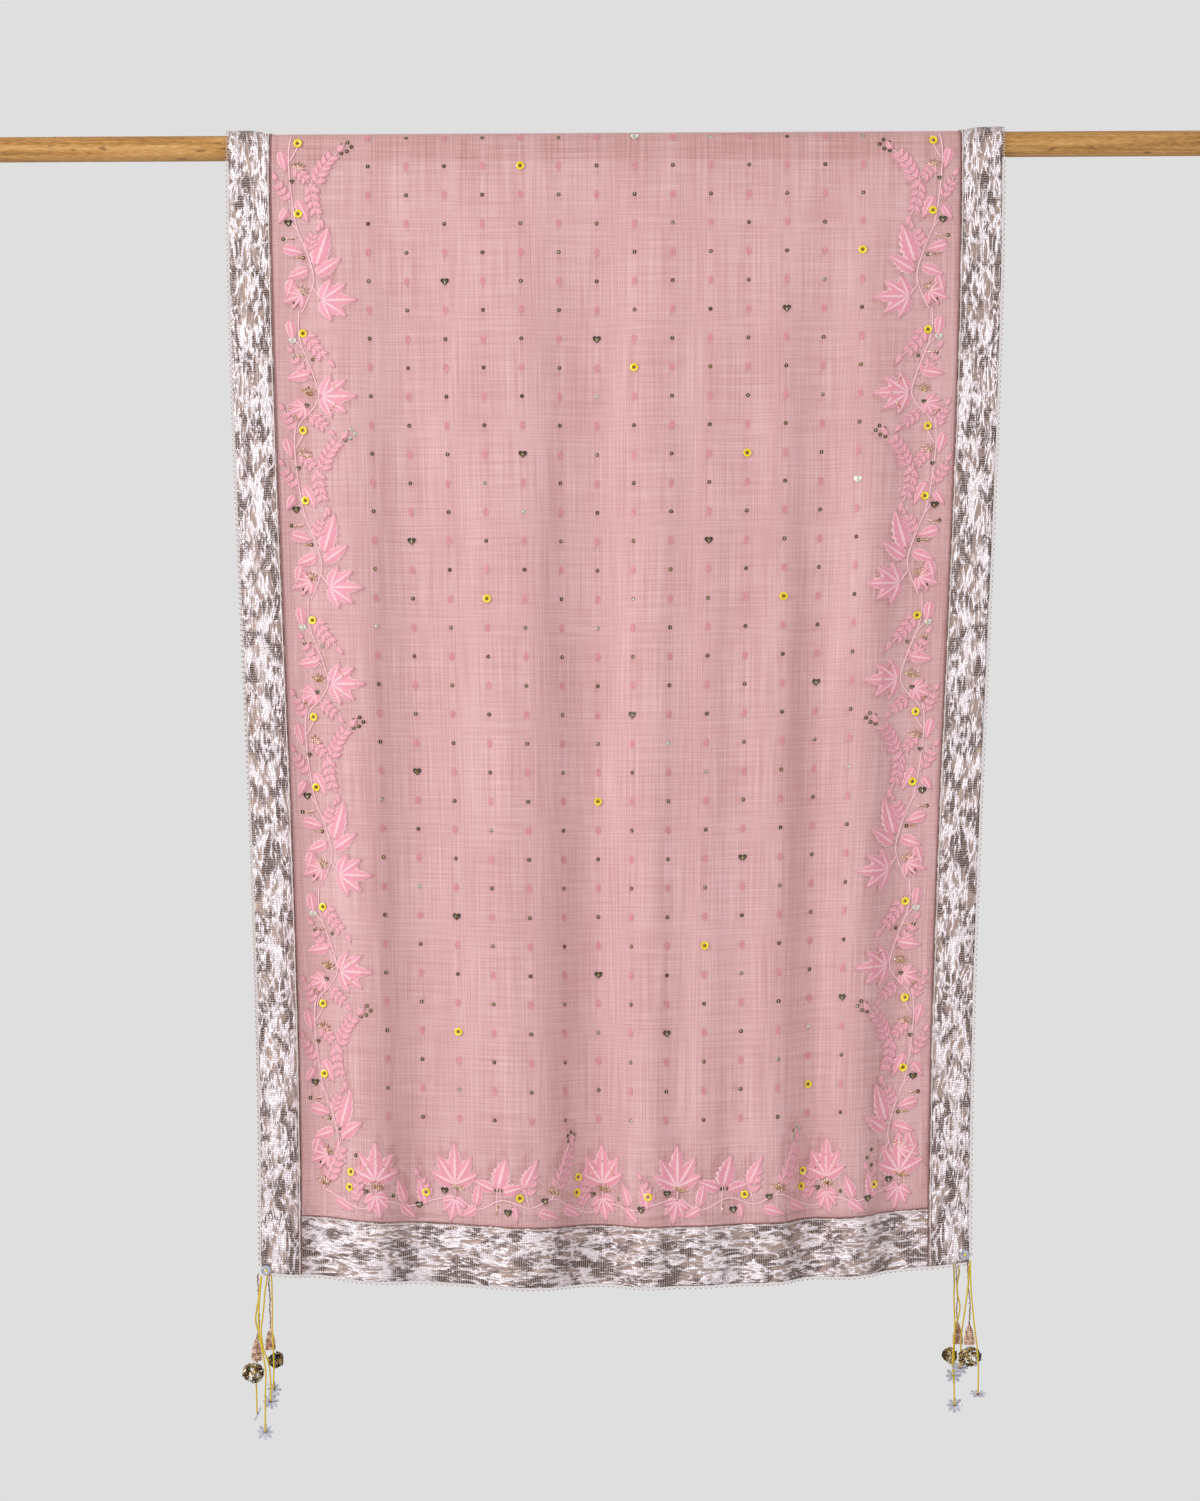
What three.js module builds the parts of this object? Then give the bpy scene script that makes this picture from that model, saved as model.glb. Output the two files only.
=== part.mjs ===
// A long sheer stole laid over a round wooden pole, so that its halves hang as a front and a back drop.
// Millimetres. The origin is on the pole's axis, half way across the cloth. +X runs along the pole,
// the front drop faces -Y and +Z is up.
//
// A point of the cloth is named by where it lies in the flat cut: `across`, measured from the middle
// towards +X, and `along`, measured from the crest of the pole, positive down the front drop and
// negative down the back one.
import * as THREE from 'three';

// ---- driving sizes ----
const pole = { radius: 14, length: 1420, chamfer: 2, sides: 48 };
const cloth = {
  halfWidth: 426,
  front: 1280,
  back: 1274,
  wall: 1.2,
  seamGap: 0.3,
  sideBorder: 45,
  endBorder: 65,
  borderColumn: 400,
};
const edging = { depth: 3.4, wall: 1.0 };
const crest = { radius: 15, steps: 12, columns: 4, borderBulge: 4, bulgeFrom: 376, bulgeTo: 402 };
const dropSteps = 12;
const foldStride = 3;
const normalStep = 0.5;
const cord = { radius: 0.9, sides: 8 };
const beadString = { radius: 1.0, sides: 8 };
const disc = { radius: 5.8, thickness: 1.5, lift: 2.4, sides: 24 };
const flower = { radius: 8.5, thickness: 1.4, offset: 1.9, sides: 16 };
const bunchSegments = { around: 12, down: 8 };
const coneSides = 16;

// The beaded cone's outline from its foot up: `radius`, and `rise` as a share of its height.
const coneOutline = [
  { radius: 0, rise: 0 },
  { radius: 5, rise: 0 },
  { radius: 6.2, rise: 0.14 },
  { radius: 5.3, rise: 0.6 },
  { radius: 2.4, rise: 1 },
  { radius: 0, rise: 1 },
];

// How each drop hangs: the sideways drift of its hem, how much higher its corners are than its middle,
// and the share of the width that the finest ripples take up.
const hang = {
  front: { drift: -5.5, leftRise: 17, rightRise: 24, fineRipples: 0.012 },
  back: { drift: -11, leftRise: 17, rightRise: 15, fineRipples: 0.008 },
};

// The ridges and troughs of each drop: where each lies across the cut, and how far it stands out from
// the pole's tangent plane at the hem.
const frontFolds = [
  { across: -426, out: 5 },
  { across: -398, out: 8 },
  { across: -360, out: -7 },
  { across: -289, out: 18 },
  { across: -231, out: -3 },
  { across: -105, out: 26 },
  { across: -21, out: -10 },
  { across: 49, out: 21 },
  { across: 84, out: 15 },
  { across: 110, out: 18 },
  { across: 147, out: 11 },
  { across: 186, out: 19 },
  { across: 236, out: -5 },
  { across: 292, out: 21 },
  { across: 344, out: 0 },
  { across: 400, out: 6 },
  { across: 426, out: 4 },
];
const backFolds = [
  { across: -426, out: 6 },
  { across: -384, out: 11 },
  { across: -318, out: -7 },
  { across: -236, out: 23 },
  { across: -170, out: -5 },
  { across: -62, out: 25 },
  { across: 18, out: -9 },
  { across: 96, out: 19 },
  { across: 160, out: 2 },
  { across: 222, out: 23 },
  { across: 288, out: -7 },
  { across: 352, out: 18 },
  { across: 400, out: 2 },
  { across: 426, out: 4 },
];

// ---- colours and finishes ----
const finish = {
  pole: new THREE.MeshStandardMaterial({ color: 0xae8440, roughness: 0.55 }),
  ground: new THREE.MeshStandardMaterial({ color: 0xe0bcbc, roughness: 0.7 }),
  brocade: new THREE.MeshStandardMaterial({ color: 0xb09c98, roughness: 0.35, metalness: 0.6 }),
  edging: new THREE.MeshStandardMaterial({ color: 0xe6d2ce, roughness: 0.7 }),
  yellowCord: new THREE.MeshStandardMaterial({ color: 0xd8b80c, roughness: 0.6 }),
  beads: new THREE.MeshStandardMaterial({ color: 0x86583f, roughness: 0.3 }),
  seedBeads: new THREE.MeshStandardMaterial({ color: 0xc8a888, roughness: 0.3 }),
  sequins: new THREE.MeshStandardMaterial({ color: 0x4a3c1e, roughness: 0.3, metalness: 0.7 }),
  petals: new THREE.MeshStandardMaterial({ color: 0xb8b4c4, roughness: 0.3 }),
};

// ---- how the cloth hangs ----
const quarterCrest = (Math.PI / 2) * crest.radius;

function ease(from, to, value) {
  const t = Math.min(1, Math.max(0, (value - from) / (to - from)));
  return t * t * (3 - 2 * t);
}

// How far the drop stands out at its hem, eased from each row of the fold table to the next.
function foldOut(folds, across) {
  const last = folds.length - 1;
  if (across <= folds[0].across) return folds[0].out;
  if (across >= folds[last].across) return folds[last].out;
  const next = folds.findIndex((row) => row.across > across);
  const a = folds[next - 1];
  const b = folds[next];
  const share = (across - a.across) / (b.across - a.across);
  return a.out + (b.out - a.out) * 0.5 * (1 - Math.cos(Math.PI * share));
}

function sideOf(along) {
  if (along >= 0) {
    return { folds: frontFolds, hang: hang.front, length: cloth.front - quarterCrest, facing: -1 };
  }
  return { folds: backFolds, hang: hang.back, length: cloth.back - quarterCrest, facing: 1 };
}

// The folds start at the pole and deepen quickly at first, then ever more slowly.
function growth(t) {
  const s = Math.min(1, Math.max(0, t));
  return 1 - (1 - s) * (1 - s);
}

// The folds use up width, so the x of a point is the sum of small steps, each shortened by the slope
// of the fold there.
function acrossToX(side, depth, across) {
  if (across === 0) return 0;
  const count = Math.max(1, Math.round(Math.abs(across) / foldStride));
  const step = across / count;
  let x = 0;
  for (let i = 0; i < count; i += 1) {
    const rise = foldOut(side.folds, step * (i + 1)) - foldOut(side.folds, step * i);
    const slope = (depth * rise) / step;
    x += step * Math.sqrt(Math.max(0, 1 - slope * slope));
  }
  return x * (1 - side.hang.fineRipples * depth * depth);
}

function middleSurface(across, along) {
  const side = sideOf(along);
  if (Math.abs(along) <= quarterCrest) {
    const angle = along / crest.radius;
    const bulge = crest.borderBulge * ease(crest.bulgeFrom, crest.bulgeTo, Math.abs(across));
    const radius = crest.radius + bulge * Math.cos(angle) ** 2;
    return new THREE.Vector3(across, -radius * Math.sin(angle), radius * Math.cos(angle));
  }
  const down = Math.abs(along) - quarterCrest;
  const depth = growth(down / side.length);
  const share = across / cloth.halfWidth;
  const cornerRise = share < 0 ? side.hang.leftRise : side.hang.rightRise;
  const x = acrossToX(side, depth, across) + (side.hang.drift * down) / side.length;
  const y = side.facing * (crest.radius + depth * foldOut(side.folds, across));
  const z = -down + (cornerRise * share * share * down) / side.length;
  return new THREE.Vector3(x, y, z);
}

// The unit normal on the outer side of the cloth, from two short steps.
function outward(across, along) {
  const turn = along >= 0 ? 1 : -1;
  const here = middleSurface(across, along);
  const acrossEdge = middleSurface(across + normalStep, along).sub(here);
  const alongEdge = middleSurface(across, along + turn * normalStep).sub(here);
  return alongEdge.cross(acrossEdge).multiplyScalar(turn).normalize();
}

function onCloth(across, along, lift) {
  return middleSurface(across, along).addScaledVector(outward(across, along), lift);
}

// ---- a closed wall over a grid of the cut ----
function wallGeometry(acrossList, alongList, thickness) {
  const columns = acrossList.length;
  const rows = alongList.length;
  const positions = [];
  for (const lift of [thickness / 2, -thickness / 2]) {
    for (const along of alongList) {
      for (const across of acrossList) {
        positions.push(...onCloth(across, along, lift).toArray());
      }
    }
  }
  const last = columns - 1;
  const outer = (i, j) => j * columns + i;
  const inner = (i, j) => rows * columns + j * columns + i;
  const index = [];
  const quad = (a, b, c, d) => index.push(a, b, c, a, c, d);
  for (let j = 0; j < rows - 1; j += 1) {
    for (let i = 0; i < last; i += 1) {
      quad(outer(i, j), outer(i, j + 1), outer(i + 1, j + 1), outer(i + 1, j));
      quad(inner(i, j), inner(i + 1, j), inner(i + 1, j + 1), inner(i, j + 1));
    }
  }
  for (let j = 0; j < rows - 1; j += 1) {
    quad(outer(0, j), inner(0, j), inner(0, j + 1), outer(0, j + 1));
    quad(outer(last, j), outer(last, j + 1), inner(last, j + 1), inner(last, j));
  }
  for (let i = 0; i < last; i += 1) {
    quad(outer(i, 0), outer(i + 1, 0), inner(i + 1, 0), inner(i, 0));
    quad(outer(i, rows - 1), inner(i, rows - 1), inner(i + 1, rows - 1), outer(i + 1, rows - 1));
  }
  const geometry = new THREE.BufferGeometry();
  geometry.setAttribute('position', new THREE.Float32BufferAttribute(positions, 3));
  geometry.setIndex(index);
  geometry.computeVertexNormals();
  return geometry;
}

// ---- where the cut is divided ----
const halfGap = cloth.seamGap / 2;
const seamAcross = cloth.halfWidth - cloth.sideBorder;

function evenSteps(from, to, count) {
  return Array.from({ length: count + 1 }, (_, i) => from + ((to - from) * i) / count);
}

// Each fold row that lies on the ground panel, and the places half way between them.
function groundColumns(folds) {
  const inside = folds.map((row) => row.across).filter((across) => Math.abs(across) < seamAcross - 1);
  const rows = [-seamAcross + halfGap, ...inside, seamAcross - halfGap];
  const columns = [rows[0]];
  for (let i = 1; i < rows.length; i += 1) {
    columns.push((rows[i - 1] + rows[i]) / 2, rows[i]);
  }
  return columns;
}

const borderColumns = [seamAcross + halfGap, cloth.borderColumn, cloth.halfWidth];
const edgingColumns = [cloth.halfWidth + cloth.seamGap, cloth.halfWidth + edging.depth];

function mirrored(places) {
  return places.map((place) => -place).reverse();
}

// The rows of one drop, from just below the pole to its hem, in order of rising `along`.
function dropRows(name) {
  const hem = name === 'front' ? cloth.front : cloth.back;
  const seam = hem - cloth.endBorder;
  const ground = evenSteps(quarterCrest + halfGap, seam - halfGap, dropSteps);
  const border = [seam + halfGap, hem];
  const trim = [hem + cloth.seamGap, hem + edging.depth];
  const turned = (rows) => (name === 'front' ? rows : mirrored(rows));
  return {
    ground: turned(ground),
    border: turned(border),
    side: turned([...ground, ...border]),
    trim: turned(trim),
  };
}

const crestRows = evenSteps(-quarterCrest + halfGap, quarterCrest - halfGap, crest.steps);

// ---- the part ----
const group = new THREE.Group();

function add(name, geometry, material) {
  const mesh = new THREE.Mesh(geometry, material);
  mesh.name = name;
  group.add(mesh);
  return mesh;
}

function addPole() {
  const half = pole.length / 2;
  const profile = [
    new THREE.Vector2(0, -half),
    new THREE.Vector2(pole.radius - pole.chamfer, -half),
    new THREE.Vector2(pole.radius, -half + pole.chamfer),
    new THREE.Vector2(pole.radius, half - pole.chamfer),
    new THREE.Vector2(pole.radius - pole.chamfer, half),
    new THREE.Vector2(0, half),
  ];
  const mesh = add('pole', new THREE.LatheGeometry(profile, pole.sides), finish.pole);
  mesh.rotation.z = -Math.PI / 2;
}

function addCloth() {
  for (const name of ['front', 'back']) {
    const rows = dropRows(name);
    const columns = groundColumns(name === 'front' ? frontFolds : backFolds);
    add(`field_${name}`, wallGeometry(columns, rows.ground, cloth.wall), finish.ground);
    add(`end_border_${name}`, wallGeometry(columns, rows.border, cloth.wall), finish.brocade);
    const { halfWidth, borderColumn } = cloth;
    const hemColumns = [-halfWidth, -borderColumn, ...columns, borderColumn, halfWidth];
    add(`end_edging_${name}`, wallGeometry(hemColumns, rows.trim, edging.wall), finish.edging);
    addSides(name, rows.side);
  }
  const crestColumns = evenSteps(-seamAcross + halfGap, seamAcross - halfGap, crest.columns);
  add('field_over_pole', wallGeometry(crestColumns, crestRows, cloth.wall), finish.ground);
  addSides('over_pole', crestRows);
}

function addSides(name, rows) {
  for (const side of ['left', 'right']) {
    const border = side === 'left' ? mirrored(borderColumns) : borderColumns;
    const trim = side === 'left' ? mirrored(edgingColumns) : edgingColumns;
    add(`side_border_${side}_${name}`, wallGeometry(border, rows, cloth.wall), finish.brocade);
    add(`edging_${side}_${name}`, wallGeometry(trim, rows, edging.wall), finish.edging);
  }
}

// ---- the corner tassels ----
// Each tassel hangs from a disc sewn near a corner, `across` and `along` in the cut. Its places are
// [side, toward, down] from the disc's middle: side is +X, toward is -Y and down is -Z.
// A flower's `faces` is the side of it that its cord comes to.
const tassels = [
  {
    name: 'front_left',
    across: -421,
    along: 1277.2,
    cords: {
      a: [
        [-5.2, 0, 5.8], [-5.6, 0, 9], [-6.1, 0, 13], [-6.9, 0, 20], [-7.8, 0, 29], [-9.2, 0, 37],
        [-10.6, -0.6, 44], [-11.6, -1.5, 51], [-11.8, -4, 57], [-10.8, -6.6, 63], [-9.2, -8.2, 70],
        [-9.4, -8.8, 82], [-11, -8.8, 97], [-12, -8.8, 112], [-12, -8.6, 127], [-11.5, -8, 143],
        [-11.5, -7.6, 158],
      ],
      b: [
        [-4.4, 2.4, 6.2], [-5, 2.4, 11], [-5.8, 2.4, 19], [-6.7, 2.5, 27], [-7.5, 2.8, 36], [-8, 3.4, 46],
        [-8, 4.6, 56], [-7.2, 6.4, 66], [-5.6, 8.2, 76], [-3.6, 8.8, 86], [-1.9, 9, 96], [-0.5, 9, 105],
        [0.2, 9, 114], [-0.2, 9, 124], [-0.6, 8.6, 136], [-0.8, 8.2, 150], [-0.9, 8, 164], [-1, 8, 176],
      ],
    },
    string: [
      [-8.6, 0.8, 3.2], [-8.9, 0.4, 7], [-9, -0.8, 11], [-8.9, -2.2, 17], [-8.7, -2.4, 25],
      [-8.5, -2.4, 33], [-8.2, -2.4, 40], [-7.9, -2.4, 47], [-7.8, -2.2, 52], [-7.7, -1.8, 57],
      [-7.8, -1.2, 61], [-8.3, -0.6, 65],
      [-9, -0.2, 69], [-9.7, 0, 72], [-10.2, 0, 74.6],
    ],
    cone: { side: -10.6, top: 75, bottom: 99 },
    bunch: { side: -14, down: 112.6, halfSize: [13.5, 7, 12.8] },
    flowers: { a: [-0.9, 0.1, -0.43], b: [0, 1, -0.05] },
  },
  {
    name: 'front_right',
    across: 421,
    along: 1271.5,
    cords: {
      a: [
        [5.4, 0.4, 6], [5.2, 0.4, 11], [4.6, 0.6, 16], [3.9, 1, 23], [3.4, 1.6, 31], [2.6, 2, 37],
        [1.8, 2.2, 43], [0.9, 1.6, 50], [0, 0.4, 57], [-1, -1, 65], [-2.2, -2.4, 73], [-3.2, -4.8, 82],
        [-3.8, -7, 90], [-4.2, -8.5, 98], [-4.6, -8.8, 108], [-4.8, -8.8, 117], [-5, -8.6, 125],
      ],
      b: [
        [5.4, 2.8, 5.4], [5.5, 2.8, 12], [5.6, 3, 20], [5.8, 3.3, 30], [6.3, 3.8, 41], [7, 4.6, 50],
        [7.7, 5.6, 59], [8.4, 6.8, 68], [9.2, 7.9, 76], [10, 8.7, 84], [11, 9, 92], [11.9, 9, 100],
        [12.6, 9, 109], [13, 9, 118], [13.1, 9, 127], [12.9, 8.6, 138], [12.7, 8.4, 150],
      ],
    },
    string: [
      [3, 0.5, 7.2], [3, 0.4, 11], [3.1, -0.6, 15], [3.3, -1.8, 20], [3.5, -2.2, 27], [3.7, -1.8, 34],
      [4, -1.4, 40], [4.8, -1.2, 46], [5.4, -1, 52], [5.4, -0.8, 57], [5.1, -0.6, 62], [4.9, -0.4, 66],
      [4.6, -0.2, 70], [4.3, 0, 74], [4.2, 0, 76.4],
    ],
    cone: { side: 4.2, top: 76.8, bottom: 98.2 },
    bunch: { side: 5, down: 111.8, halfSize: [14.5, 7, 12.8] },
    flowers: { a: [0.1, 0.95, -0.3], b: [0.05, 0.35, -0.93] },
  },
  {
    name: 'back_left',
    across: -421,
    along: -1273.5,
    cords: {
      a: [
        [2.4, 1.6, 8.4], [2.5, 1.8, 12], [1.7, 2, 19], [0.6, 2, 26], [-0.5, 2, 33], [-1.2, 2, 40],
        [-1.8, 2.4, 48], [-2.5, 3.4, 56], [-3.2, 5, 64], [-4.4, 7, 72], [-4.4, 8.4, 80], [-3.2, 8.8, 89],
        [-1.4, 9, 98], [1.4, 9, 106], [4, 9, 114], [5.2, 8.8, 123], [5.8, 8.6, 134], [6, 8.4, 145],
        [6, 8.4, 154],
      ],
      b: [
        [5.2, -0.3, 6], [6, 0, 10], [6.5, 0.6, 16], [6.9, 1.2, 24], [7.1, 1.8, 32], [7.4, 2.4, 41],
        [7.6, 3.2, 50], [7.7, 4.6, 59], [7.7, 6.2, 68], [7.9, 7.6, 76], [8.4, 8.6, 84], [8.8, 9, 93],
        [9.2, 9, 102], [9.4, 9, 111], [9.4, 9, 120], [9, 8.6, 131], [8.7, 8.4, 141],
      ],
    },
    string: [
      [4, -2.6, 6.8], [4.2, -2.6, 11], [4, -2.4, 16], [3.6, -2, 21], [3.3, -1.8, 26], [3.8, -1.6, 30],
      [4.3, -1.4, 35], [4.7, -1.2, 40], [4.9, -1, 45], [4.5, -0.8, 50], [4.4, -0.6, 55], [5, -0.4, 60],
      [5.3, -0.2, 65], [5.1, 0, 70], [4.9, 0, 75.6],
    ],
    cone: { side: 4.9, top: 76, bottom: 98.5 },
    bunch: { side: 11.5, down: 110, halfSize: [10.5, 6.5, 10.5] },
    flowers: { a: [0.3, 0.8, -0.5], b: [-0.4, 0.9, -0.04] },
  },
  {
    name: 'back_right',
    across: 421,
    along: -1269.5,
    cords: {
      a: [
        [-3.2, -0.4, 7], [-3.2, -0.3, 11], [-3, 0.4, 18], [-2.9, 1, 25], [-2.9, 1.8, 32], [-3.3, 2.4, 39],
        [-3.5, 3, 46], [-3.4, 3.8, 54], [-3.3, 5.4, 62], [-3.3, 7.6, 70], [-3.3, 8.8, 78], [-3.7, 9, 87],
        [-4.4, 9, 96], [-5.2, 9, 105], [-5.8, 9, 114], [-5.8, 8.8, 123], [-5, 8.6, 132],
        [-4.4, 8.4, 142],
        [-4.2, 8.4, 152], [-4.2, 8.4, 164],
      ],
      b: [
        [0.6, -0.4, 7.4], [1.4, -0.3, 11], [2.5, 0.2, 15], [2.7, 0.8, 19], [1.6, 1.4, 24], [0.6, 1.8, 29],
        [0, 2.2, 35], [0.4, 2.4, 41], [1.6, 2.8, 47], [2.9, 3, 53], [3, 3.4, 58], [2, 4, 64],
        [0.6, 4.8, 69],
        [-1.2, 5.6, 74], [-2.6, 6.2, 79], [-3.2, 6.4, 87], [-3.6, 6.4, 97], [-4, 6.4, 108],
        [-4.3, 6.2, 120],
        [-4.5, 6, 132],
      ],
    },
    string: [
      [-1.2, -2.8, 7], [-0.9, -2.8, 11], [-0.2, -2.6, 16], [0.1, -2.6, 21], [-0.1, -2.4, 27],
      [0.3, -2.2, 33],
      [0.9, -2, 39], [1, -1.8, 45], [0.6, -1.6, 51], [0.1, -1.4, 56], [-0.4, -1, 61], [-0.3, -0.6, 65],
      [0.3, -0.3, 69], [0.7, 0, 73], [0.7, 0, 75],
    ],
    cone: { side: 0.7, top: 75.4, bottom: 97.6 },
    bunch: { side: -8, down: 110.4, halfSize: [10, 5, 10.5] },
    flowers: { a: [-0.2, 0.9, -0.4], b: [0.1, 0.97, -0.2] },
  },
];

function fromDisc(middle, [side, toward, down]) {
  return new THREE.Vector3(middle.x + side, middle.y - toward, middle.z - down);
}

function cordGeometry(points, size) {
  const outline = new THREE.Shape();
  outline.absarc(0, 0, size.radius, 0, Math.PI * 2, false);
  const route = new THREE.CatmullRomCurve3(points);
  return new THREE.ExtrudeGeometry(outline, {
    extrudePath: route,
    steps: points.length - 1,
    curveSegments: size.sides,
    bevelEnabled: false,
  });
}

function turnedTo(mesh, from, direction) {
  mesh.quaternion.setFromUnitVectors(from, direction.clone().normalize());
  return mesh;
}

function addDisc(tassel, middle) {
  const { radius, thickness, sides } = disc;
  const geometry = new THREE.CylinderGeometry(radius, radius, thickness, sides);
  const mesh = add(`disc_${tassel.name}`, geometry, finish.petals);
  turnedTo(mesh, new THREE.Vector3(0, 1, 0), outward(tassel.across, tassel.along));
  mesh.position.copy(middle);
}

function addCone(tassel, middle) {
  const { side, top, bottom } = tassel.cone;
  const height = bottom - top;
  const profile = coneOutline.map(({ radius, rise }) => new THREE.Vector2(radius, height * rise));
  const mesh = add(`cone_${tassel.name}`, new THREE.LatheGeometry(profile, coneSides), finish.seedBeads);
  mesh.rotation.x = Math.PI / 2;
  mesh.position.copy(fromDisc(middle, [side, 0, bottom]));
}

function addBunch(tassel, middle) {
  const { side, down, halfSize } = tassel.bunch;
  const ball = new THREE.SphereGeometry(1, bunchSegments.around, bunchSegments.down);
  const mesh = add(`sequins_${tassel.name}`, ball, finish.sequins);
  mesh.scale.set(halfSize[0], halfSize[1], halfSize[2]);
  mesh.position.copy(fromDisc(middle, [side, 0, down]));
}

function addCordAndFlower(tassel, middle, letter) {
  const points = tassel.cords[letter].map((place) => fromDisc(middle, place));
  add(`cord_${tassel.name}_${letter}`, cordGeometry(points, cord), finish.yellowCord);
  const [side, toward, down] = tassel.flowers[letter];
  const faces = new THREE.Vector3(side, -toward, -down).normalize();
  const { radius, thickness, sides } = flower;
  const geometry = new THREE.CylinderGeometry(radius, radius, thickness, sides);
  const mesh = add(`flower_${tassel.name}_${letter}`, geometry, finish.petals);
  turnedTo(mesh, new THREE.Vector3(0, 1, 0), faces);
  mesh.position.copy(points[points.length - 1]).addScaledVector(faces, -flower.offset);
}

function addTassel(tassel) {
  const middle = onCloth(tassel.across, tassel.along, disc.lift);
  addDisc(tassel, middle);
  addCordAndFlower(tassel, middle, 'a');
  addCordAndFlower(tassel, middle, 'b');
  const stringPoints = tassel.string.map((place) => fromDisc(middle, place));
  add(`bead_string_${tassel.name}`, cordGeometry(stringPoints, beadString), finish.beads);
  addCone(tassel, middle);
  addBunch(tassel, middle);
}

addPole();
addCloth();
tassels.forEach(addTassel);

export default group;
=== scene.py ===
import math
import random

import bmesh
import bpy
import numpy as np
from mathutils import Matrix, Vector, noise


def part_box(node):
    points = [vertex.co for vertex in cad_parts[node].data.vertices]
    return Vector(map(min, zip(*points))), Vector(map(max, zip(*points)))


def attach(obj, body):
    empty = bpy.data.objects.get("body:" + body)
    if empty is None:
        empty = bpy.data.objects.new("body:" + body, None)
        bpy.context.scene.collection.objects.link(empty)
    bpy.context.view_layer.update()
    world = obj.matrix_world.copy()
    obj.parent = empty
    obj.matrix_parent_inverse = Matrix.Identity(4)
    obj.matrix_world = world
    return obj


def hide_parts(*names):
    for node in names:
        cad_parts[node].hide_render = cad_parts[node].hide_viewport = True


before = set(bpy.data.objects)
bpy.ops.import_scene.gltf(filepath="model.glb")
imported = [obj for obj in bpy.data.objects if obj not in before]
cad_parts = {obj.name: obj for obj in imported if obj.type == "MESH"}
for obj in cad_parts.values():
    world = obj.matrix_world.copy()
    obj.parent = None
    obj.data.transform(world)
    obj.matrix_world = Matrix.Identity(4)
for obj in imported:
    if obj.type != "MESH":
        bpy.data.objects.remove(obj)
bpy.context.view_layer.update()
scene = bpy.context.scene
scene.view_settings.view_transform = "Standard"
print("frame loaded")

mm = 0.001

# ---- camera ----
camera = {"side": -0.0207, "away": 4.02, "height": -0.6676, "seen": 1.651, "sensor": 36.0, "roll": 0.31}


def makeCamera():
    data = bpy.data.cameras.new("camera")
    data.sensor_width = camera["sensor"]
    data.lens = camera["sensor"] * 4.0 / camera["seen"]
    obj = bpy.data.objects.new("camera", data)
    level = Matrix.Rotation(math.radians(90), 4, "X")
    rolled = level @ Matrix.Rotation(math.radians(-camera["roll"]), 4, "Z")
    obj.matrix_world = Matrix.Translation((camera["side"], -camera["away"], camera["height"])) @ rolled
    scene.collection.objects.link(obj)
    scene.camera = obj


makeCamera()

# ---- how the cloth hangs, in millimetres of its flat cut ----
# across runs from the middle towards +X; along runs from the crest of the pole, down the front when
# positive and down the back when negative
cloth = {"halfWidth": 426.0, "front": 1280.0, "back": 1274.0, "sideBorder": 45.0, "endBorder": 65.0}
crest = {"radius": 15.0, "borderBulge": 4.0, "bulgeFrom": 376.0, "bulgeTo": 402.0}
hang = {
    "front": {"drift": -5.5, "leftRise": 17.0, "rightRise": 24.0, "fineRipples": 0.012, "facing": -1},
    "back": {"drift": -11.0, "leftRise": 17.0, "rightRise": 15.0, "fineRipples": 0.008, "facing": 1},
}
# across and how far out the fold stands at the hem
folds = {
    "front": [
        (-426, 5), (-398, 8), (-360, -7), (-289, 18), (-231, -3), (-105, 26), (-21, -10), (49, 21),
        (84, 15),
        (110, 18), (147, 11), (186, 19), (236, -5), (292, 21), (344, 0), (400, 6), (426, 4),
    ],
    "back": [
        (-426, 6), (-384, 11), (-318, -7), (-236, 23), (-170, -5), (-62, 25), (18, -9), (96, 19),
        (160, 2),
        (222, 23), (288, -7), (352, 18), (400, 2), (426, 4),
    ],
}
# finer creases: across, half width, how far out, where they start and end along
creases = {
    "front": [
        (-334, 9, 2.2, 250, 1280), (-262, 11, -1.6, 420, 1100), (-196, 14, 1.8, 180, 900),
        (-150, 10, -1.5, 560, 1280),
        (-128, 8, 2.0, 500, 1280), (-64, 12, -1.4, 90, 560), (8, 9, 1.7, 620, 1280),
        (66, 7, -1.9, 420, 1280),
        (98, 6, 1.6, 380, 1280), (128, 7, -1.5, 330, 1180), (166, 8, 1.7, 520, 1280),
        (212, 11, -1.6, 160, 820),
        (262, 9, 2.0, 480, 1280), (318, 10, -1.8, 300, 1280), (356, 7, 1.6, 640, 1280),
    ],
    "back": [
        (-350, 10, 2.0, 300, 1280), (-280, 12, -1.6, 200, 1000), (-204, 9, 1.9, 480, 1280),
        (-120, 13, -1.5, 350, 1280),
        (-24, 10, 1.8, 260, 980), (60, 9, -1.7, 500, 1280), (130, 11, 1.6, 180, 900),
        (190, 8, -1.5, 420, 1280),
        (256, 10, 1.8, 560, 1280), (324, 12, -1.7, 240, 1280),
    ],
}
quarterCrest = math.pi / 2 * crest["radius"]
foldStride = 3.0
seamAcross = cloth["halfWidth"] - cloth["sideBorder"]


def foldOut(side, across):
    rows = np.array(folds[side], float)
    i = np.clip(np.searchsorted(rows[:, 0], across, side="right") - 1, 0, len(rows) - 2)
    share = np.clip((across - rows[i, 0]) / (rows[i + 1, 0] - rows[i, 0]), 0, 1)
    return rows[i, 1] + (rows[i + 1, 1] - rows[i, 1]) * 0.5 * (1 - np.cos(math.pi * share))


def widthTable(side):
    # the folds use up width: x for every stride across the cut, at evenly spaced depths of fold
    grid = np.arange(-435.0, 436.0, foldStride)
    slope = np.diff(foldOut(side, grid)) / foldStride
    depths = np.linspace(0, 1, 81)
    rows = []
    for depth in depths:
        steps = foldStride * np.sqrt(np.maximum(0, 1 - (depth * slope) ** 2))
        x = np.concatenate([[0], np.cumsum(steps)])
        x -= np.interp(0, grid, x)
        rows.append(x * (1 - hang[side]["fineRipples"] * depth * depth))
    return grid, len(depths) - 1, np.array(rows)


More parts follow.
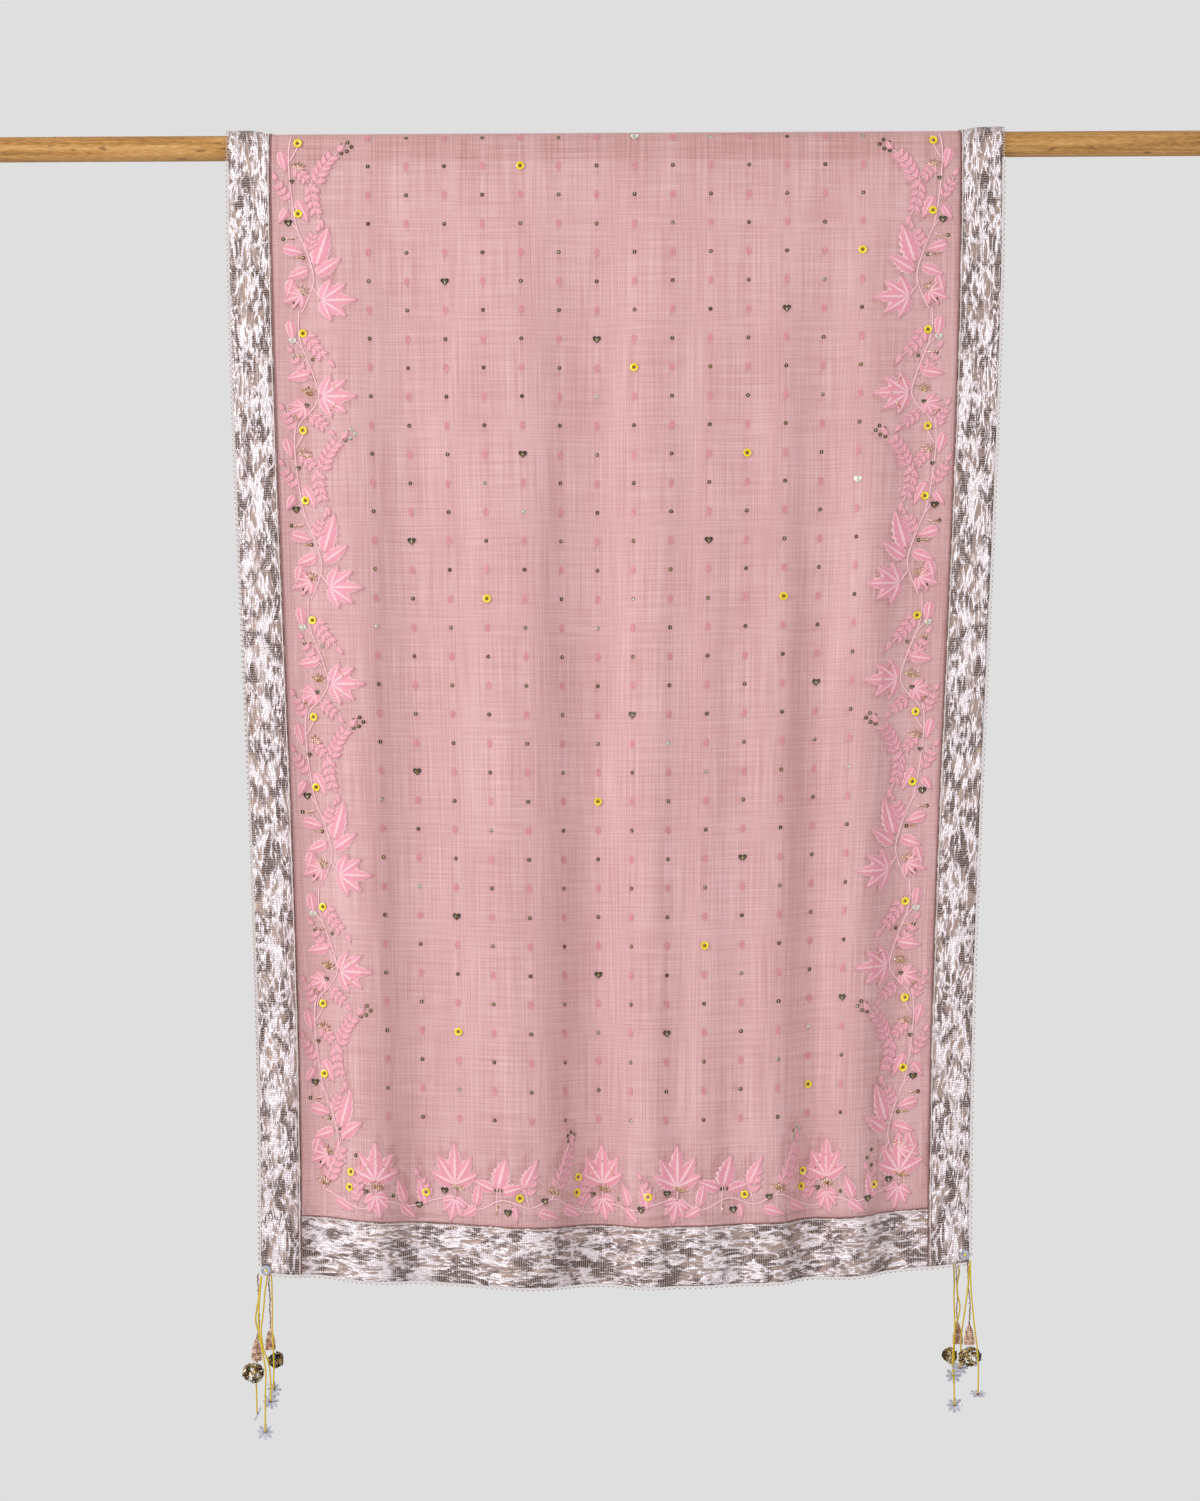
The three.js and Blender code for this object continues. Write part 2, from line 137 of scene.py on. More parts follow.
widthTables = {side: widthTable(side) for side in folds}


def acrossToX(side, depth, across):
    grid, last, table = widthTables[side]
    column = (across - grid[0]) / foldStride
    i = np.clip(column.astype(int), 0, len(grid) - 2)
    f = column - i
    j = np.clip((depth * last).astype(int), 0, last - 1)
    g = depth * last - j
    upper = table[j, i] * (1 - f) + table[j, i + 1] * f
    lower = table[j + 1, i] * (1 - f) + table[j + 1, i + 1] * f
    return upper * (1 - g) + lower * g


def creaseOut(side, across, down):
    out = np.zeros_like(across)
    for where, half, height, start, end in creases[side]:
        fade = np.clip((down - start) / 160, 0, 1) * np.clip((end + 60 - down) / 120, 0, 1)
        out += height * fade * np.exp(-(((across - where) / half) ** 2))
    return out


def middleSurface(across, along):
    t = np.clip((np.abs(across) - crest["bulgeFrom"]) / (crest["bulgeTo"] - crest["bulgeFrom"]), 0, 1)
    angle = along / crest["radius"]
    radius = crest["radius"] + crest["borderBulge"] * t * t * (3 - 2 * t) * np.cos(angle) ** 2
    places = np.stack([across, -radius * np.sin(angle), radius * np.cos(angle)], -1)
    for side, part in (("front", along > quarterCrest), ("back", along < -quarterCrest)):
        if not part.any():
            continue
        way = hang[side]
        a = across[part]
        down = np.abs(along[part]) - quarterCrest
        share = down / (cloth[side] - quarterCrest)
        depth = 1 - (1 - np.clip(share, 0, 1)) ** 2
        rise = np.where(a < 0, way["leftRise"], way["rightRise"]) * (a / cloth["halfWidth"]) ** 2
        x = acrossToX(side, depth, a) + way["drift"] * share
        y = way["facing"] * (crest["radius"] + depth * foldOut(side, a) + creaseOut(side, a, down))
        places[part] = np.stack([x, y, -down + rise * share], -1)
    return places


def onCloth(points):
    # points are rows of across, along and lift; the lift is off the cloth's middle, outwards
    across, along, lift = np.asarray(points, float).T
    here = middleSurface(across, along)
    step = 0.5
    turn = np.where(along >= 0, 1.0, -1.0)
    acrossEdge = middleSurface(across + step, along) - here
    alongEdge = (middleSurface(across, along + step * turn) - here) * turn[:, None]
    outward = np.cross(alongEdge, acrossEdge)
    outward /= np.linalg.norm(outward, axis=1)[:, None]
    return (here + outward * lift[:, None]) * mm


# ---- making pieces ----
def toObject(bm, name, materials):
    mesh = bpy.data.meshes.new(name)
    bm.to_mesh(mesh)
    bm.free()
    return fromMesh(mesh, name, materials)


def fromMesh(mesh, name, materials):
    obj = bpy.data.objects.new(name, mesh)
    scene.collection.objects.link(obj)
    for material in materials:
        mesh.materials.append(material)
    mesh.polygons.foreach_set("use_smooth", [True] * len(mesh.polygons))
    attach(obj, "root")
    return obj


def layOnCloth(bm):
    # moves flat work, drawn in millimetres of the cut, onto the hanging cloth
    flat = np.array([v.co[:] for v in bm.verts])
    for vert, place in zip(bm.verts, onCloth(flat)):
        vert.co = place
    bmesh.ops.reverse_faces(bm, faces=bm.faces)


def thicken(obj, thickness):
    wall = obj.modifiers.new("wall", "SOLIDIFY")
    wall.thickness = thickness * mm
    wall.offset = 0


def repeated(name, template, places, materials, draped=True):
    # one mesh that holds the template at every place; a place is a matrix in millimetres
    template.verts.ensure_lookup_table()
    corners = np.array([v.co[:] + (1,) for v in template.verts])
    faces = [[v.index for v in face.verts] for face in template.faces]
    kinds = [face.material_index for face in template.faces]
    spots = np.concatenate([(corners @ np.array(place).T)[:, :3] for place in places])
    turned = [list(reversed(face)) for face in faces] if draped else faces
    allFaces = [[i + len(corners) * k for i in face] for k in range(len(places)) for face in turned]
    mesh = bpy.data.meshes.new(name)
    mesh.from_pydata((onCloth(spots) if draped else spots * mm).tolist(), [], allFaces)
    mesh.polygons.foreach_set("material_index", kinds * len(places))
    template.free()
    return fromMesh(mesh, name, materials)


def secondMaterial(bm, verts):
    # every face on these verts takes the piece's second material, and every other face its first
    chosen = set(verts)
    for face in bm.faces:
        face.material_index = 1 if face.verts[0] in chosen else 0


def rod(bm, sides, radius, length):
    size = {"segments": sides, "radius1": radius, "radius2": radius, "depth": length}
    return bmesh.ops.create_cone(bm, cap_ends=True, **size)["verts"]


lying = Matrix.Rotation(math.pi / 2, 4, "X")  # turns an upright rod or ring to lie along the cloth


def smoothPath(points, steps):
    # a Catmull-Rom line through the points
    p = [Vector(q) for q in points]
    p = [p[0] * 2 - p[1], *p, p[-1] * 2 - p[-2]]
    line = []
    for i in range(1, len(p) - 2):
        for k in range(steps):
            t = k / steps
            a = 2 * p[i]
            b = (p[i + 1] - p[i - 1]) * t
            c = (2 * p[i - 1] - 5 * p[i] + 4 * p[i + 1] - p[i + 2]) * t * t
            d = (3 * p[i] - p[i - 1] - 3 * p[i + 1] + p[i + 2]) * t ** 3
            line.append((a + b + c + d) / 2)
    return line + [p[-2]]


# ---- shader writing ----
class Wire:
    # a node's output, so that shader maths reads as ordinary maths
    def __init__(self, shader, socket):
        self.shader = shader
        self.socket = socket

    def calc(self, operation, first, second=0.0):
        made = self.shader.node("ShaderNodeMath", {"operation": operation}, {0: first, 1: second})
        return Wire(self.shader, made.outputs[0])

    def __add__(self, other):
        return self.calc("ADD", self, other)

    def __radd__(self, other):
        return self.calc("ADD", other, self)

    def __sub__(self, other):
        return self.calc("SUBTRACT", self, other)

    def __rsub__(self, other):
        return self.calc("SUBTRACT", other, self)

    def __mul__(self, other):
        return self.calc("MULTIPLY", self, other)

    def __rmul__(self, other):
        return self.calc("MULTIPLY", other, self)

    def __pow__(self, other):
        return self.calc("POWER", self, other)

    def __abs__(self):
        return self.calc("ABSOLUTE", self)

    def sine(self):
        return self.calc("SINE", self)

    def above(self, low, high):
        # 0 at low and under, 1 at high and over
        settings = {"interpolation_type": "SMOOTHSTEP"}
        sockets = {"Value": self, "From Min": low, "From Max": high}
        made = self.shader.node("ShaderNodeMapRange", settings, sockets)
        return Wire(self.shader, made.outputs["Result"])


class Shader:
    def __init__(self, name, **fixed):
        self.material = bpy.data.materials.new(name)
        self.material.use_nodes = True
        self.tree = self.material.node_tree
        self.surface = self.tree.nodes["Principled BSDF"]
        for socket, value in fixed.items():
            self.surface.inputs[socket.replace("_", " ")].default_value = value
        self.coordinates = self.node("ShaderNodeTexCoord")

    def node(self, kind, settings=None, sockets=None):
        made = self.tree.nodes.new(kind)
        for key, value in (settings or {}).items():
            if key == "stops":
                self.setStops(made.color_ramp, value)
            else:
                setattr(made, key, value)
        for key, value in (sockets or {}).items():
            self.plug(made.inputs[key], value)
        return made

    def setStops(self, ramp, stops):
        while len(ramp.elements) < len(stops):
            ramp.elements.new(1.0)
        for element, (position, colour) in zip(ramp.elements, stops):
            element.position = position
            element.color = (*colour, 1)

    def plug(self, socket, value):
        if isinstance(value, Wire):
            self.tree.links.new(value.socket, socket)
        elif isinstance(value, bpy.types.NodeSocket):
            self.tree.links.new(value, socket)
        elif socket.type == "RGBA" and len(value) == 3:
            socket.default_value = (*value, 1)
        else:
            socket.default_value = value

    def place(self, scale=(1, 1, 1), turn=0.0, source="UV"):
        sockets = {"Vector": self.coordinates.outputs[source], "Scale": scale, "Rotation": (0, 0, turn)}
        return self.node("ShaderNodeMapping", None, sockets).outputs["Vector"]

    def axis(self, vector, name):
        return Wire(self, self.node("ShaderNodeSeparateXYZ", None, {0: vector}).outputs[name])

    def noise(self, vector, scale=1.0, detail=2.0, distortion=0.0):
        sockets = {"Vector": vector, "Scale": scale, "Detail": detail, "Distortion": distortion}
        return Wire(self, self.node("ShaderNodeTexNoise", None, sockets).outputs["Fac"])

    def cells(self, vector, scale):
        made = self.node("ShaderNodeTexVoronoi", None, {"Vector": vector, "Scale": scale})
        return Wire(self, made.outputs["Distance"])

    def ramp(self, value, stops):
        return self.node("ShaderNodeValToRGB", {"stops": stops}, {"Fac": value}).outputs["Color"]

    def mix(self, share, first, second):
        made = self.node("ShaderNodeMix", {"data_type": "RGBA"}, {"Factor": share})
        self.plug(made.inputs[6], first)
        self.plug(made.inputs[7], second)
        return made.outputs[2]

    def bump(self, height, distance, strength=1.0):
        sockets = {"Height": height, "Distance": distance, "Strength": strength}
        self.feed("Normal", self.node("ShaderNodeBump", None, sockets).outputs["Normal"])

    def feed(self, name, value):
        self.plug(self.surface.inputs[name], value)


def linear(red, green, blue):
    # a colour as a screen shows it, each part from 0 to 255, made linear for the shader
    def one(value):
        value /= 255
        return value / 12.92 if value <= 0.04045 else ((value + 0.055) / 1.055) ** 2.4

    return (one(red), one(green), one(blue))


# sheer ground: fine uneven threads each way, which also open and close the gauze
gauze = {
    "light": linear(240, 200, 202),
    "deep": linear(216, 160, 158),
    "cover": 0.5,
    "threadsPerMetre": 620,
}


def gauzeMaterial():
    s = Shader("gauze", Roughness=0.62, Sheen_Weight=0.35, Sheen_Roughness=0.4, Specular_IOR_Level=0.25)
    warp = s.noise(s.place((gauze["threadsPerMetre"], 9, 1)), detail=3)
    weft = s.noise(s.place((11, gauze["threadsPerMetre"], 1)), detail=3)
    broad = s.noise(s.place((26, 5, 1)), detail=2)
    weave = warp * 0.45 + weft * 0.35 + broad * 0.2
    s.feed("Base Color", s.mix(weave.above(0.34, 0.66), gauze["deep"], gauze["light"]))
    s.feed("Alpha", gauze["cover"] + (weave - 0.5) * 0.7)
    s.bump(warp * 0.6 + weft * 0.4, 0.0004, 0.5)
    return s.material


# crushed metallic tissue: ribs across the strip, long crinkles with painted highlights along them, painted
# highlight patches, matt leaf figures
brocade = {
    "dark": linear(70, 56, 54),
    "middle": linear(168, 146, 140),
    "beige": linear(196, 168, 152),
    # the near-white colour is a painted highlight, laid on the crinkles and in patches
    "paintedHighlight": linear(252, 240, 246),
    "ribPitch": 0.0026,
}


def brocadeMaterial():
    s = Shader("brocade", Specular_IOR_Level=0.6)
    uv = s.place()
    wander = s.noise(s.place((90, 60, 1)), detail=2)
    ribs = (s.axis(uv, "Y") * (2 * math.pi / brocade["ribPitch"]) + wander * 5).sine() * 0.5 + 0.5
    specks = s.noise(s.place((900, 500, 1)), detail=2)
    leaning = 1 - abs(s.noise(s.place((150, 34, 1), 0.42), detail=2, distortion=0.6) * 2 - 1)
    falling = 1 - abs(s.noise(s.place((120, 30, 1), -0.55), detail=2, distortion=0.8) * 2 - 1)
    crinkle = (leaning ** 9) + (falling ** 11) * 0.8
    patches = s.noise(s.place((55, 34, 1)), detail=3, distortion=0.5)
    figures = 1 - s.cells(s.place((58, 40, 1), 0.5), 1.0).above(0.26, 0.34)
    ribbed = patches.above(0.44, 0.58)
    shade = (0.5 + (specks - 0.5) * 1.3) - ribbed * (ribs * 0.62 + 0.02)
    ground = s.ramp(shade, [(0.05, brocade["dark"]), (0.42, brocade["middle"]), (0.75, brocade["beige"])])
    matt = s.mix(figures * (1 - ribbed) * 0.65, ground, brocade["beige"])
    # painted highlight: the crinkle streaks are coloured near white as if catching the light
    lit = (crinkle * (1.15 - ribbed * 0.45)).above(0.35, 0.8)
    cloudy = s.noise(s.place((38, 20, 1), 0.3), detail=4, distortion=0.4)
    # painted highlight patches: cloudy spots coloured near white as if lit
    paintedHighlightPatches = cloudy.above(0.6, 0.68) * specks.above(0.3, 0.5)
    s.feed("Base Color", s.mix(lit * 0.9, s.mix(paintedHighlightPatches * 0.85, matt, brocade["paintedHighlight"]), brocade["paintedHighlight"]))
    s.feed("Metallic", 0.55 - figures * 0.35)
    s.feed("Roughness", 0.5 - lit * 0.2)
    s.bump(crinkle + ribs * 0.22 + specks * 0.2, 0.0012, 0.8)
    return s.material


# threads: the picots, seams and cords, with fine slanting twist
def threadMaterial(name, light, deep, pitch, roughness=0.7):
    s = Shader(name, Roughness=roughness, Sheen_Weight=0.3, Specular_IOR_Level=0.3)
    place = s.place(source="Object")
    slant = s.axis(place, "Z") + s.axis(place, "X") * 0.7 + s.axis(place, "Y") * 0.4
    twist = (slant * (2 * math.pi / pitch)).sine() * 0.5 + 0.5
    fluff = s.noise(s.place((1, 1, 1), source="Object"), 900, 2)
    s.feed("Base Color", s.mix((twist * 0.6 + fluff * 0.5).above(0.2, 0.9), deep, light))
    s.bump(twist * 0.7 + fluff * 0.4, 0.0003, 0.7)
    return s.material


# satin stitch: pale outline and rib, threads slanting from the rib to the edge
satin = {"light": linear(247, 203, 211), "middle": linear(236, 164, 178), "deep": linear(214, 132, 148)}


def satinMaterial():
    s = Shader("satin_stitch", Roughness=0.48, Sheen_Weight=0.3, Specular_IOR_Level=0.45)
    uv = s.place()
    offRib = abs(s.axis(uv, "Y"))
    threads = ((s.axis(uv, "X") * 1400 + offRib * 2.6) * 2.2).sine() * 0.5 + 0.5
    patchy = s.noise(s.place((1, 1, 1), source="Object"), 260, 3)
    fill = s.mix((threads * 0.55 + patchy * 0.6).above(0.25, 0.85), satin["deep"], satin["middle"])
    line = 1 - offRib.above(0.08, 0.2) + offRib.above(0.72, 0.86)
    s.feed("Base Color", s.mix(line * 0.85, fill, satin["light"]))
    s.bump(threads * 0.5 + line * 0.5 + patchy * 0.3, 0.0005, 0.8)
    return s.material


def buttiMaterial():
    s = Shader("woven_oval", Roughness=0.55, Sheen_Weight=0.3, Specular_IOR_Level=0.35)
    threads = s.noise(s.place((1500, 1500, 240), source="Object"), 1.0, 2)
    s.feed("Base Color", s.ramp(threads, [(0.3, linear(206, 126, 138)), (0.7, linear(232, 160, 170))]))
    s.feed("Alpha", 0.72 + (threads - 0.5) * 0.5)
    s.bump(threads, 0.0004, 0.7)
    return s.material


# small bright things, each a little different from the next
def brightMaterial(name, colours, spread, roughness=0.25, metallic=0.6, coat=0.4):
    s = Shader(name, Coat_Weight=coat, Coat_Roughness=0.1)
    stops = [(position, linear(*colour)) for position, colour in colours]
    chance = s.noise(s.place((1, 1, 1), source="Object"), spread, 1)
    fine = s.noise(s.place((1, 1, 1), source="Object"), 1400, 2)
    s.feed("Base Color", s.ramp(chance, stops))
    s.feed("Metallic", metallic + (fine - 0.5) * 0.1)
    s.feed("Roughness", roughness + (fine - 0.5) * 0.15)
    s.bump(fine, 0.0002, 0.3)
    return s.material


def petalMaterial():
    s = Shader("petal", Roughness=0.22, Coat_Weight=0.5, Specular_IOR_Level=0.6)
    place = s.place((1, 1, 1), source="Object")
    veil = s.noise(place, 220, 3)
    stops = [(0.3, linear(150, 146, 166)), (0.55, linear(196, 196, 212)), (0.8, linear(232, 232, 240))]
    s.feed("Base Color", s.ramp(veil, stops))
    s.feed("Alpha", 0.78 + (veil - 0.5) * 0.5)
    s.bump(s.noise(place, 1200, 2), 0.0002, 0.4)
    return s.material


wood = {"light": linear(206, 160, 98), "middle": linear(180, 130, 68), "dark": linear(118, 80, 38)}


def woodMaterial():
    s = Shader("wood", Specular_IOR_Level=0.4)
    grain = s.noise(s.place((5, 160, 160), source="Object"), 1.0, 5, 0.4)
    speckle = s.noise(s.place((120, 620, 620), source="Object"), 1.0, 3)
    spots = s.noise(s.place((38, 120, 120), source="Object"), 1.0, 2).above(0.66, 0.74)
    tone = grain * 0.6 + speckle * 0.4
    body = s.ramp(tone, [(0.32, wood["dark"]), (0.5, wood["middle"]), (0.66, wood["light"])])
    s.feed("Base Color", s.mix(spots * 0.75, body, wood["dark"]))
    s.feed("Roughness", 0.46 + (speckle - 0.5) * 0.3)
    s.bump(grain * 0.6 + speckle * 0.5, 0.0004, 0.6)
    return s.material


finish = {
    "gauze": gauzeMaterial(),
    "brocade": brocadeMaterial(),
    "picot": threadMaterial("picot_thread", linear(246, 236, 234), linear(206, 176, 170), 0.0011),
    "knot": threadMaterial("knot_thread", linear(176, 122, 112), linear(104, 62, 56), 0.0009),
    "seam": threadMaterial("seam_thread", linear(168, 118, 108), linear(120, 78, 70), 0.0016),
    "paleSeam": threadMaterial("pale_seam_thread", linear(246, 232, 230), linear(214, 190, 186), 0.0016),
    "yellowCord": threadMaterial("yellow_cord", linear(238, 208, 22), linear(176, 140, 6), 0.0013, 0.55),
    "satin": satinMaterial(),
    "butti": buttiMaterial(),
    # the sequins' palest stop is a painted glint: sequins falling on it are coloured pale as if catching the
    # light
    "sequin": brightMaterial("sequin", [
        (0.3, (46, 38, 26)), (0.5, (84, 74, 48)), (0.62, (120, 104, 70)), (0.72, (206, 220, 214)),
    ], 31),
    "heart": brightMaterial("heart", [(0.35, (30, 30, 22)), (0.7, (66, 62, 40))], 300, 0.35, 0.2),
    "paleHeart": brightMaterial("pale_heart", [
        (0.35, (200, 210, 200)), (0.7, (244, 248, 242)),
    ], 300, 0.3, 0.2),
    "metalThread": brightMaterial("metal_thread", [
        (0.32, (150, 84, 50)), (0.45, (206, 166, 104)), (0.58, (232, 214, 170)), (0.7, (246, 244, 238)),
    ], 420, 0.25, 0.75),
    "yellow": brightMaterial("yellow_spangle", [
        (0.3, (236, 200, 10)), (0.7, (252, 238, 60)),
    ], 160, 0.2, 0.05, 0.6),
    "darkBead": brightMaterial("dark_bead", [(0.3, (70, 36, 16)), (0.7, (150, 90, 40))], 200, 0.25, 0.2),
    "stringBead": brightMaterial("string_bead", [
        (0.3, (96, 58, 46)), (0.5, (148, 104, 86)), (0.7, (206, 170, 150)),
    ], 330),
    "seedBead": brightMaterial("seed_bead", [
        (0.3, (150, 104, 82)), (0.5, (206, 166, 138)), (0.7, (244, 220, 200)),
    ], 240, 0.22, 0.15),
    "cupSequin": brightMaterial("cup_sequin", [
        (0.3, (34, 26, 16)), (0.45, (92, 72, 34)), (0.56, (176, 146, 74)), (0.68, (230, 224, 210)),
    ], 120),
    "petal": petalMaterial(),
}
print("materials made")


# ---- the corner tassels ----
# each hangs from a disc sewn near a corner, which faces along Y; its routes are (side, toward, down) from
# the disc's middle, in millimetres: side is +X, toward is -Y and down is -Z
tassels = [
    {
        "name": "front_left", "facing": -1.0,
        "a": [
            (-5.2, 0, 5.8), (-5.6, 0, 9), (-6.1, 0, 13), (-6.9, 0, 20), (-7.8, 0, 29), (-9.2, 0, 37),
            (-10.6, -0.6, 44), (-11.6, -1.5, 51), (-11.8, -4, 57), (-10.8, -6.6, 63), (-9.2, -8.2, 70),
            (-9.4, -8.8, 82), (-11, -8.8, 97), (-12, -8.8, 112), (-12, -8.6, 127), (-11.5, -8, 143),
            (-11.5, -7.6, 158),
        ],
        "b": [
            (-4.4, 2.4, 6.2), (-5, 2.4, 11), (-5.8, 2.4, 19), (-6.7, 2.5, 27), (-7.5, 2.8, 36),
            (-8, 3.4, 46),
            (-8, 4.6, 56), (-7.2, 6.4, 66), (-5.6, 8.2, 76), (-3.6, 8.8, 86), (-1.9, 9, 96),
            (-0.5, 9, 105),
            (0.2, 9, 114), (-0.2, 9, 124), (-0.6, 8.6, 136), (-0.8, 8.2, 150), (-0.9, 8, 164),
            (-1, 8, 176),
        ],
        "string": [
            (-8.6, 0.8, 3.2), (-8.9, 0.4, 7), (-9, -0.8, 11), (-8.9, -2.2, 17), (-8.7, -2.4, 25),
            (-8.5, -2.4, 33),
            (-8.2, -2.4, 40), (-7.9, -2.4, 47), (-7.8, -2.2, 52), (-7.7, -1.8, 57), (-7.8, -1.2, 61),
            (-8.3, -0.6, 65),
            (-9, -0.2, 69), (-9.7, 0, 72), (-10.2, 0, 74.6),
        ],
        "faces": {"a": (-0.9, 0.1, -0.43), "b": (0, 1, -0.05)},
    },
    {
        "name": "front_right", "facing": -1.0,
        "a": [
            (5.4, 0.4, 6), (5.2, 0.4, 11), (4.6, 0.6, 16), (3.9, 1, 23), (3.4, 1.6, 31), (2.6, 2, 37),
            (1.8, 2.2, 43), (0.9, 1.6, 50), (0, 0.4, 57), (-1, -1, 65), (-2.2, -2.4, 73),
            (-3.2, -4.8, 82),
            (-3.8, -7, 90), (-4.2, -8.5, 98), (-4.6, -8.8, 108), (-4.8, -8.8, 117), (-5, -8.6, 125),
        ],
        "b": [
            (5.4, 2.8, 5.4), (5.5, 2.8, 12), (5.6, 3, 20), (5.8, 3.3, 30), (6.3, 3.8, 41), (7, 4.6, 50),
            (7.7, 5.6, 59), (8.4, 6.8, 68), (9.2, 7.9, 76), (10, 8.7, 84), (11, 9, 92), (11.9, 9, 100),
            (12.6, 9, 109), (13, 9, 118), (13.1, 9, 127), (12.9, 8.6, 138), (12.7, 8.4, 150),
        ],
        "string": [
            (3, 0.5, 7.2), (3, 0.4, 11), (3.1, -0.6, 15), (3.3, -1.8, 20), (3.5, -2.2, 27),
            (3.7, -1.8, 34),
            (4, -1.4, 40), (4.8, -1.2, 46), (5.4, -1, 52), (5.4, -0.8, 57), (5.1, -0.6, 62),
            (4.9, -0.4, 66),
            (4.6, -0.2, 70), (4.3, 0, 74), (4.2, 0, 76.4),
        ],
        "faces": {"a": (0.1, 0.95, -0.3), "b": (0.05, 0.35, -0.93)},
    },
    {
        "name": "back_left", "facing": 1.0,
        "a": [
            (2.4, 1.6, 8.4), (2.5, 1.8, 12), (1.7, 2, 19), (0.6, 2, 26), (-0.5, 2, 33), (-1.2, 2, 40),
            (-1.8, 2.4, 48), (-2.5, 3.4, 56), (-3.2, 5, 64), (-4.4, 7, 72), (-4.4, 8.4, 80),
            (-3.2, 8.8, 89),
            (-1.4, 9, 98), (1.4, 9, 106), (4, 9, 114), (5.2, 8.8, 123), (5.8, 8.6, 134), (6, 8.4, 145),
            (6, 8.4, 154),
        ],
        "b": [
            (5.2, -0.3, 6), (6, 0, 10), (6.5, 0.6, 16), (6.9, 1.2, 24), (7.1, 1.8, 32), (7.4, 2.4, 41),
            (7.6, 3.2, 50), (7.7, 4.6, 59), (7.7, 6.2, 68), (7.9, 7.6, 76), (8.4, 8.6, 84), (8.8, 9, 93),
            (9.2, 9, 102), (9.4, 9, 111), (9.4, 9, 120), (9, 8.6, 131), (8.7, 8.4, 141),
        ],
        "string": [
            (4, -2.6, 6.8), (4.2, -2.6, 11), (4, -2.4, 16), (3.6, -2, 21), (3.3, -1.8, 26),
            (3.8, -1.6, 30),
            (4.3, -1.4, 35), (4.7, -1.2, 40), (4.9, -1, 45), (4.5, -0.8, 50), (4.4, -0.6, 55),
            (5, -0.4, 60),
            (5.3, -0.2, 65), (5.1, 0, 70), (4.9, 0, 75.6),
        ],
        "faces": {"a": (0.3, 0.8, -0.5), "b": (-0.4, 0.9, -0.04)},
    },
    {
        "name": "back_right", "facing": 1.0,
        "a": [
            (-3.2, -0.4, 7), (-3.2, -0.3, 11), (-3, 0.4, 18), (-2.9, 1, 25), (-2.9, 1.8, 32),
            (-3.3, 2.4, 39),
            (-3.5, 3, 46), (-3.4, 3.8, 54), (-3.3, 5.4, 62), (-3.3, 7.6, 70), (-3.3, 8.8, 78),
            (-3.7, 9, 87),
            (-4.4, 9, 96), (-5.2, 9, 105), (-5.8, 9, 114), (-5.8, 8.8, 123), (-5, 8.6, 132),
            (-4.4, 8.4, 142),
            (-4.2, 8.4, 152), (-4.2, 8.4, 164),
        ],
        "b": [
            (0.6, -0.4, 7.4), (1.4, -0.3, 11), (2.5, 0.2, 15), (2.7, 0.8, 19), (1.6, 1.4, 24),
            (0.6, 1.8, 29),
            (0, 2.2, 35), (0.4, 2.4, 41), (1.6, 2.8, 47), (2.9, 3, 53), (3, 3.4, 58), (2, 4, 64),
            (0.6, 4.8, 69),
            (-1.2, 5.6, 74), (-2.6, 6.2, 79), (-3.2, 6.4, 87), (-3.6, 6.4, 97), (-4, 6.4, 108),
            (-4.3, 6.2, 120),
            (-4.5, 6, 132),
        ],
        "string": [
            (-1.2, -2.8, 7), (-0.9, -2.8, 11), (-0.2, -2.6, 16), (0.1, -2.6, 21), (-0.1, -2.4, 27),
            (0.3, -2.2, 33),
            (0.9, -2, 39), (1, -1.8, 45), (0.6, -1.6, 51), (0.1, -1.4, 56), (-0.4, -1, 61),
            (-0.3, -0.6, 65),
            (0.3, -0.3, 69), (0.7, 0, 73), (0.7, 0, 75),
        ],
        "faces": {"a": (-0.2, 0.9, -0.4), "b": (0.1, 0.97, -0.2)},
    },
]
tassel = {
    "discRadius": 5.7, "cord": 1.8, "thread": 0.9, "petals": 8, "petalLength": 8.2, "flowerOffset": 1.9,
    "ringsAt": 0.78, "beadRadius": 1.0, "beadPitch": 2.0, "beadSway": 0.35, "coneTop": 2.4, "coneFoot": 6.1,
    "coneRows": 11, "cups": 30, "cupTurn": 2.399,
}


def discMiddle(work):
    # in millimetres, from the box of the plain disc in the frame
    low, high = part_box("disc_" + work["name"])
    return (low + high) / 2 / mm


def routeOf(work, part):
    middle = discMiddle(work)
    return [middle + Vector((side, -toward, -down)) for side, toward, down in work[part]]


def turnTo(direction):
    return Vector(direction).normalized().to_track_quat("Z", "Y").to_matrix().to_4x4()


def hangingCurve(name, points, diameter, material):
    data = bpy.data.curves.new(name, "CURVE")
    data.dimensions = "3D"
    data.bevel_depth = diameter / 2 * mm
    data.bevel_resolution = 2
    data.use_fill_caps = True
    line = smoothPath(points, 3)
    spline = data.splines.new("POLY")
    spline.points.add(len(line) - 1)
    for point, place in zip(spline.points, line):
        point.co = (*(place * mm), 1)
    data.materials.append(material)
    obj = bpy.data.objects.new(name, data)
    scene.collection.objects.link(obj)
    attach(obj, "root")
    return obj, line


def lengthOf(line):
    return sum((b - a).length for a, b in zip(line, line[1:])) * mm


def beadShape(radius, around=8, down=5):
    bm = bmesh.new()
    bmesh.ops.create_uvsphere(bm, u_segments=around, v_segments=down, radius=radius)
    return bm


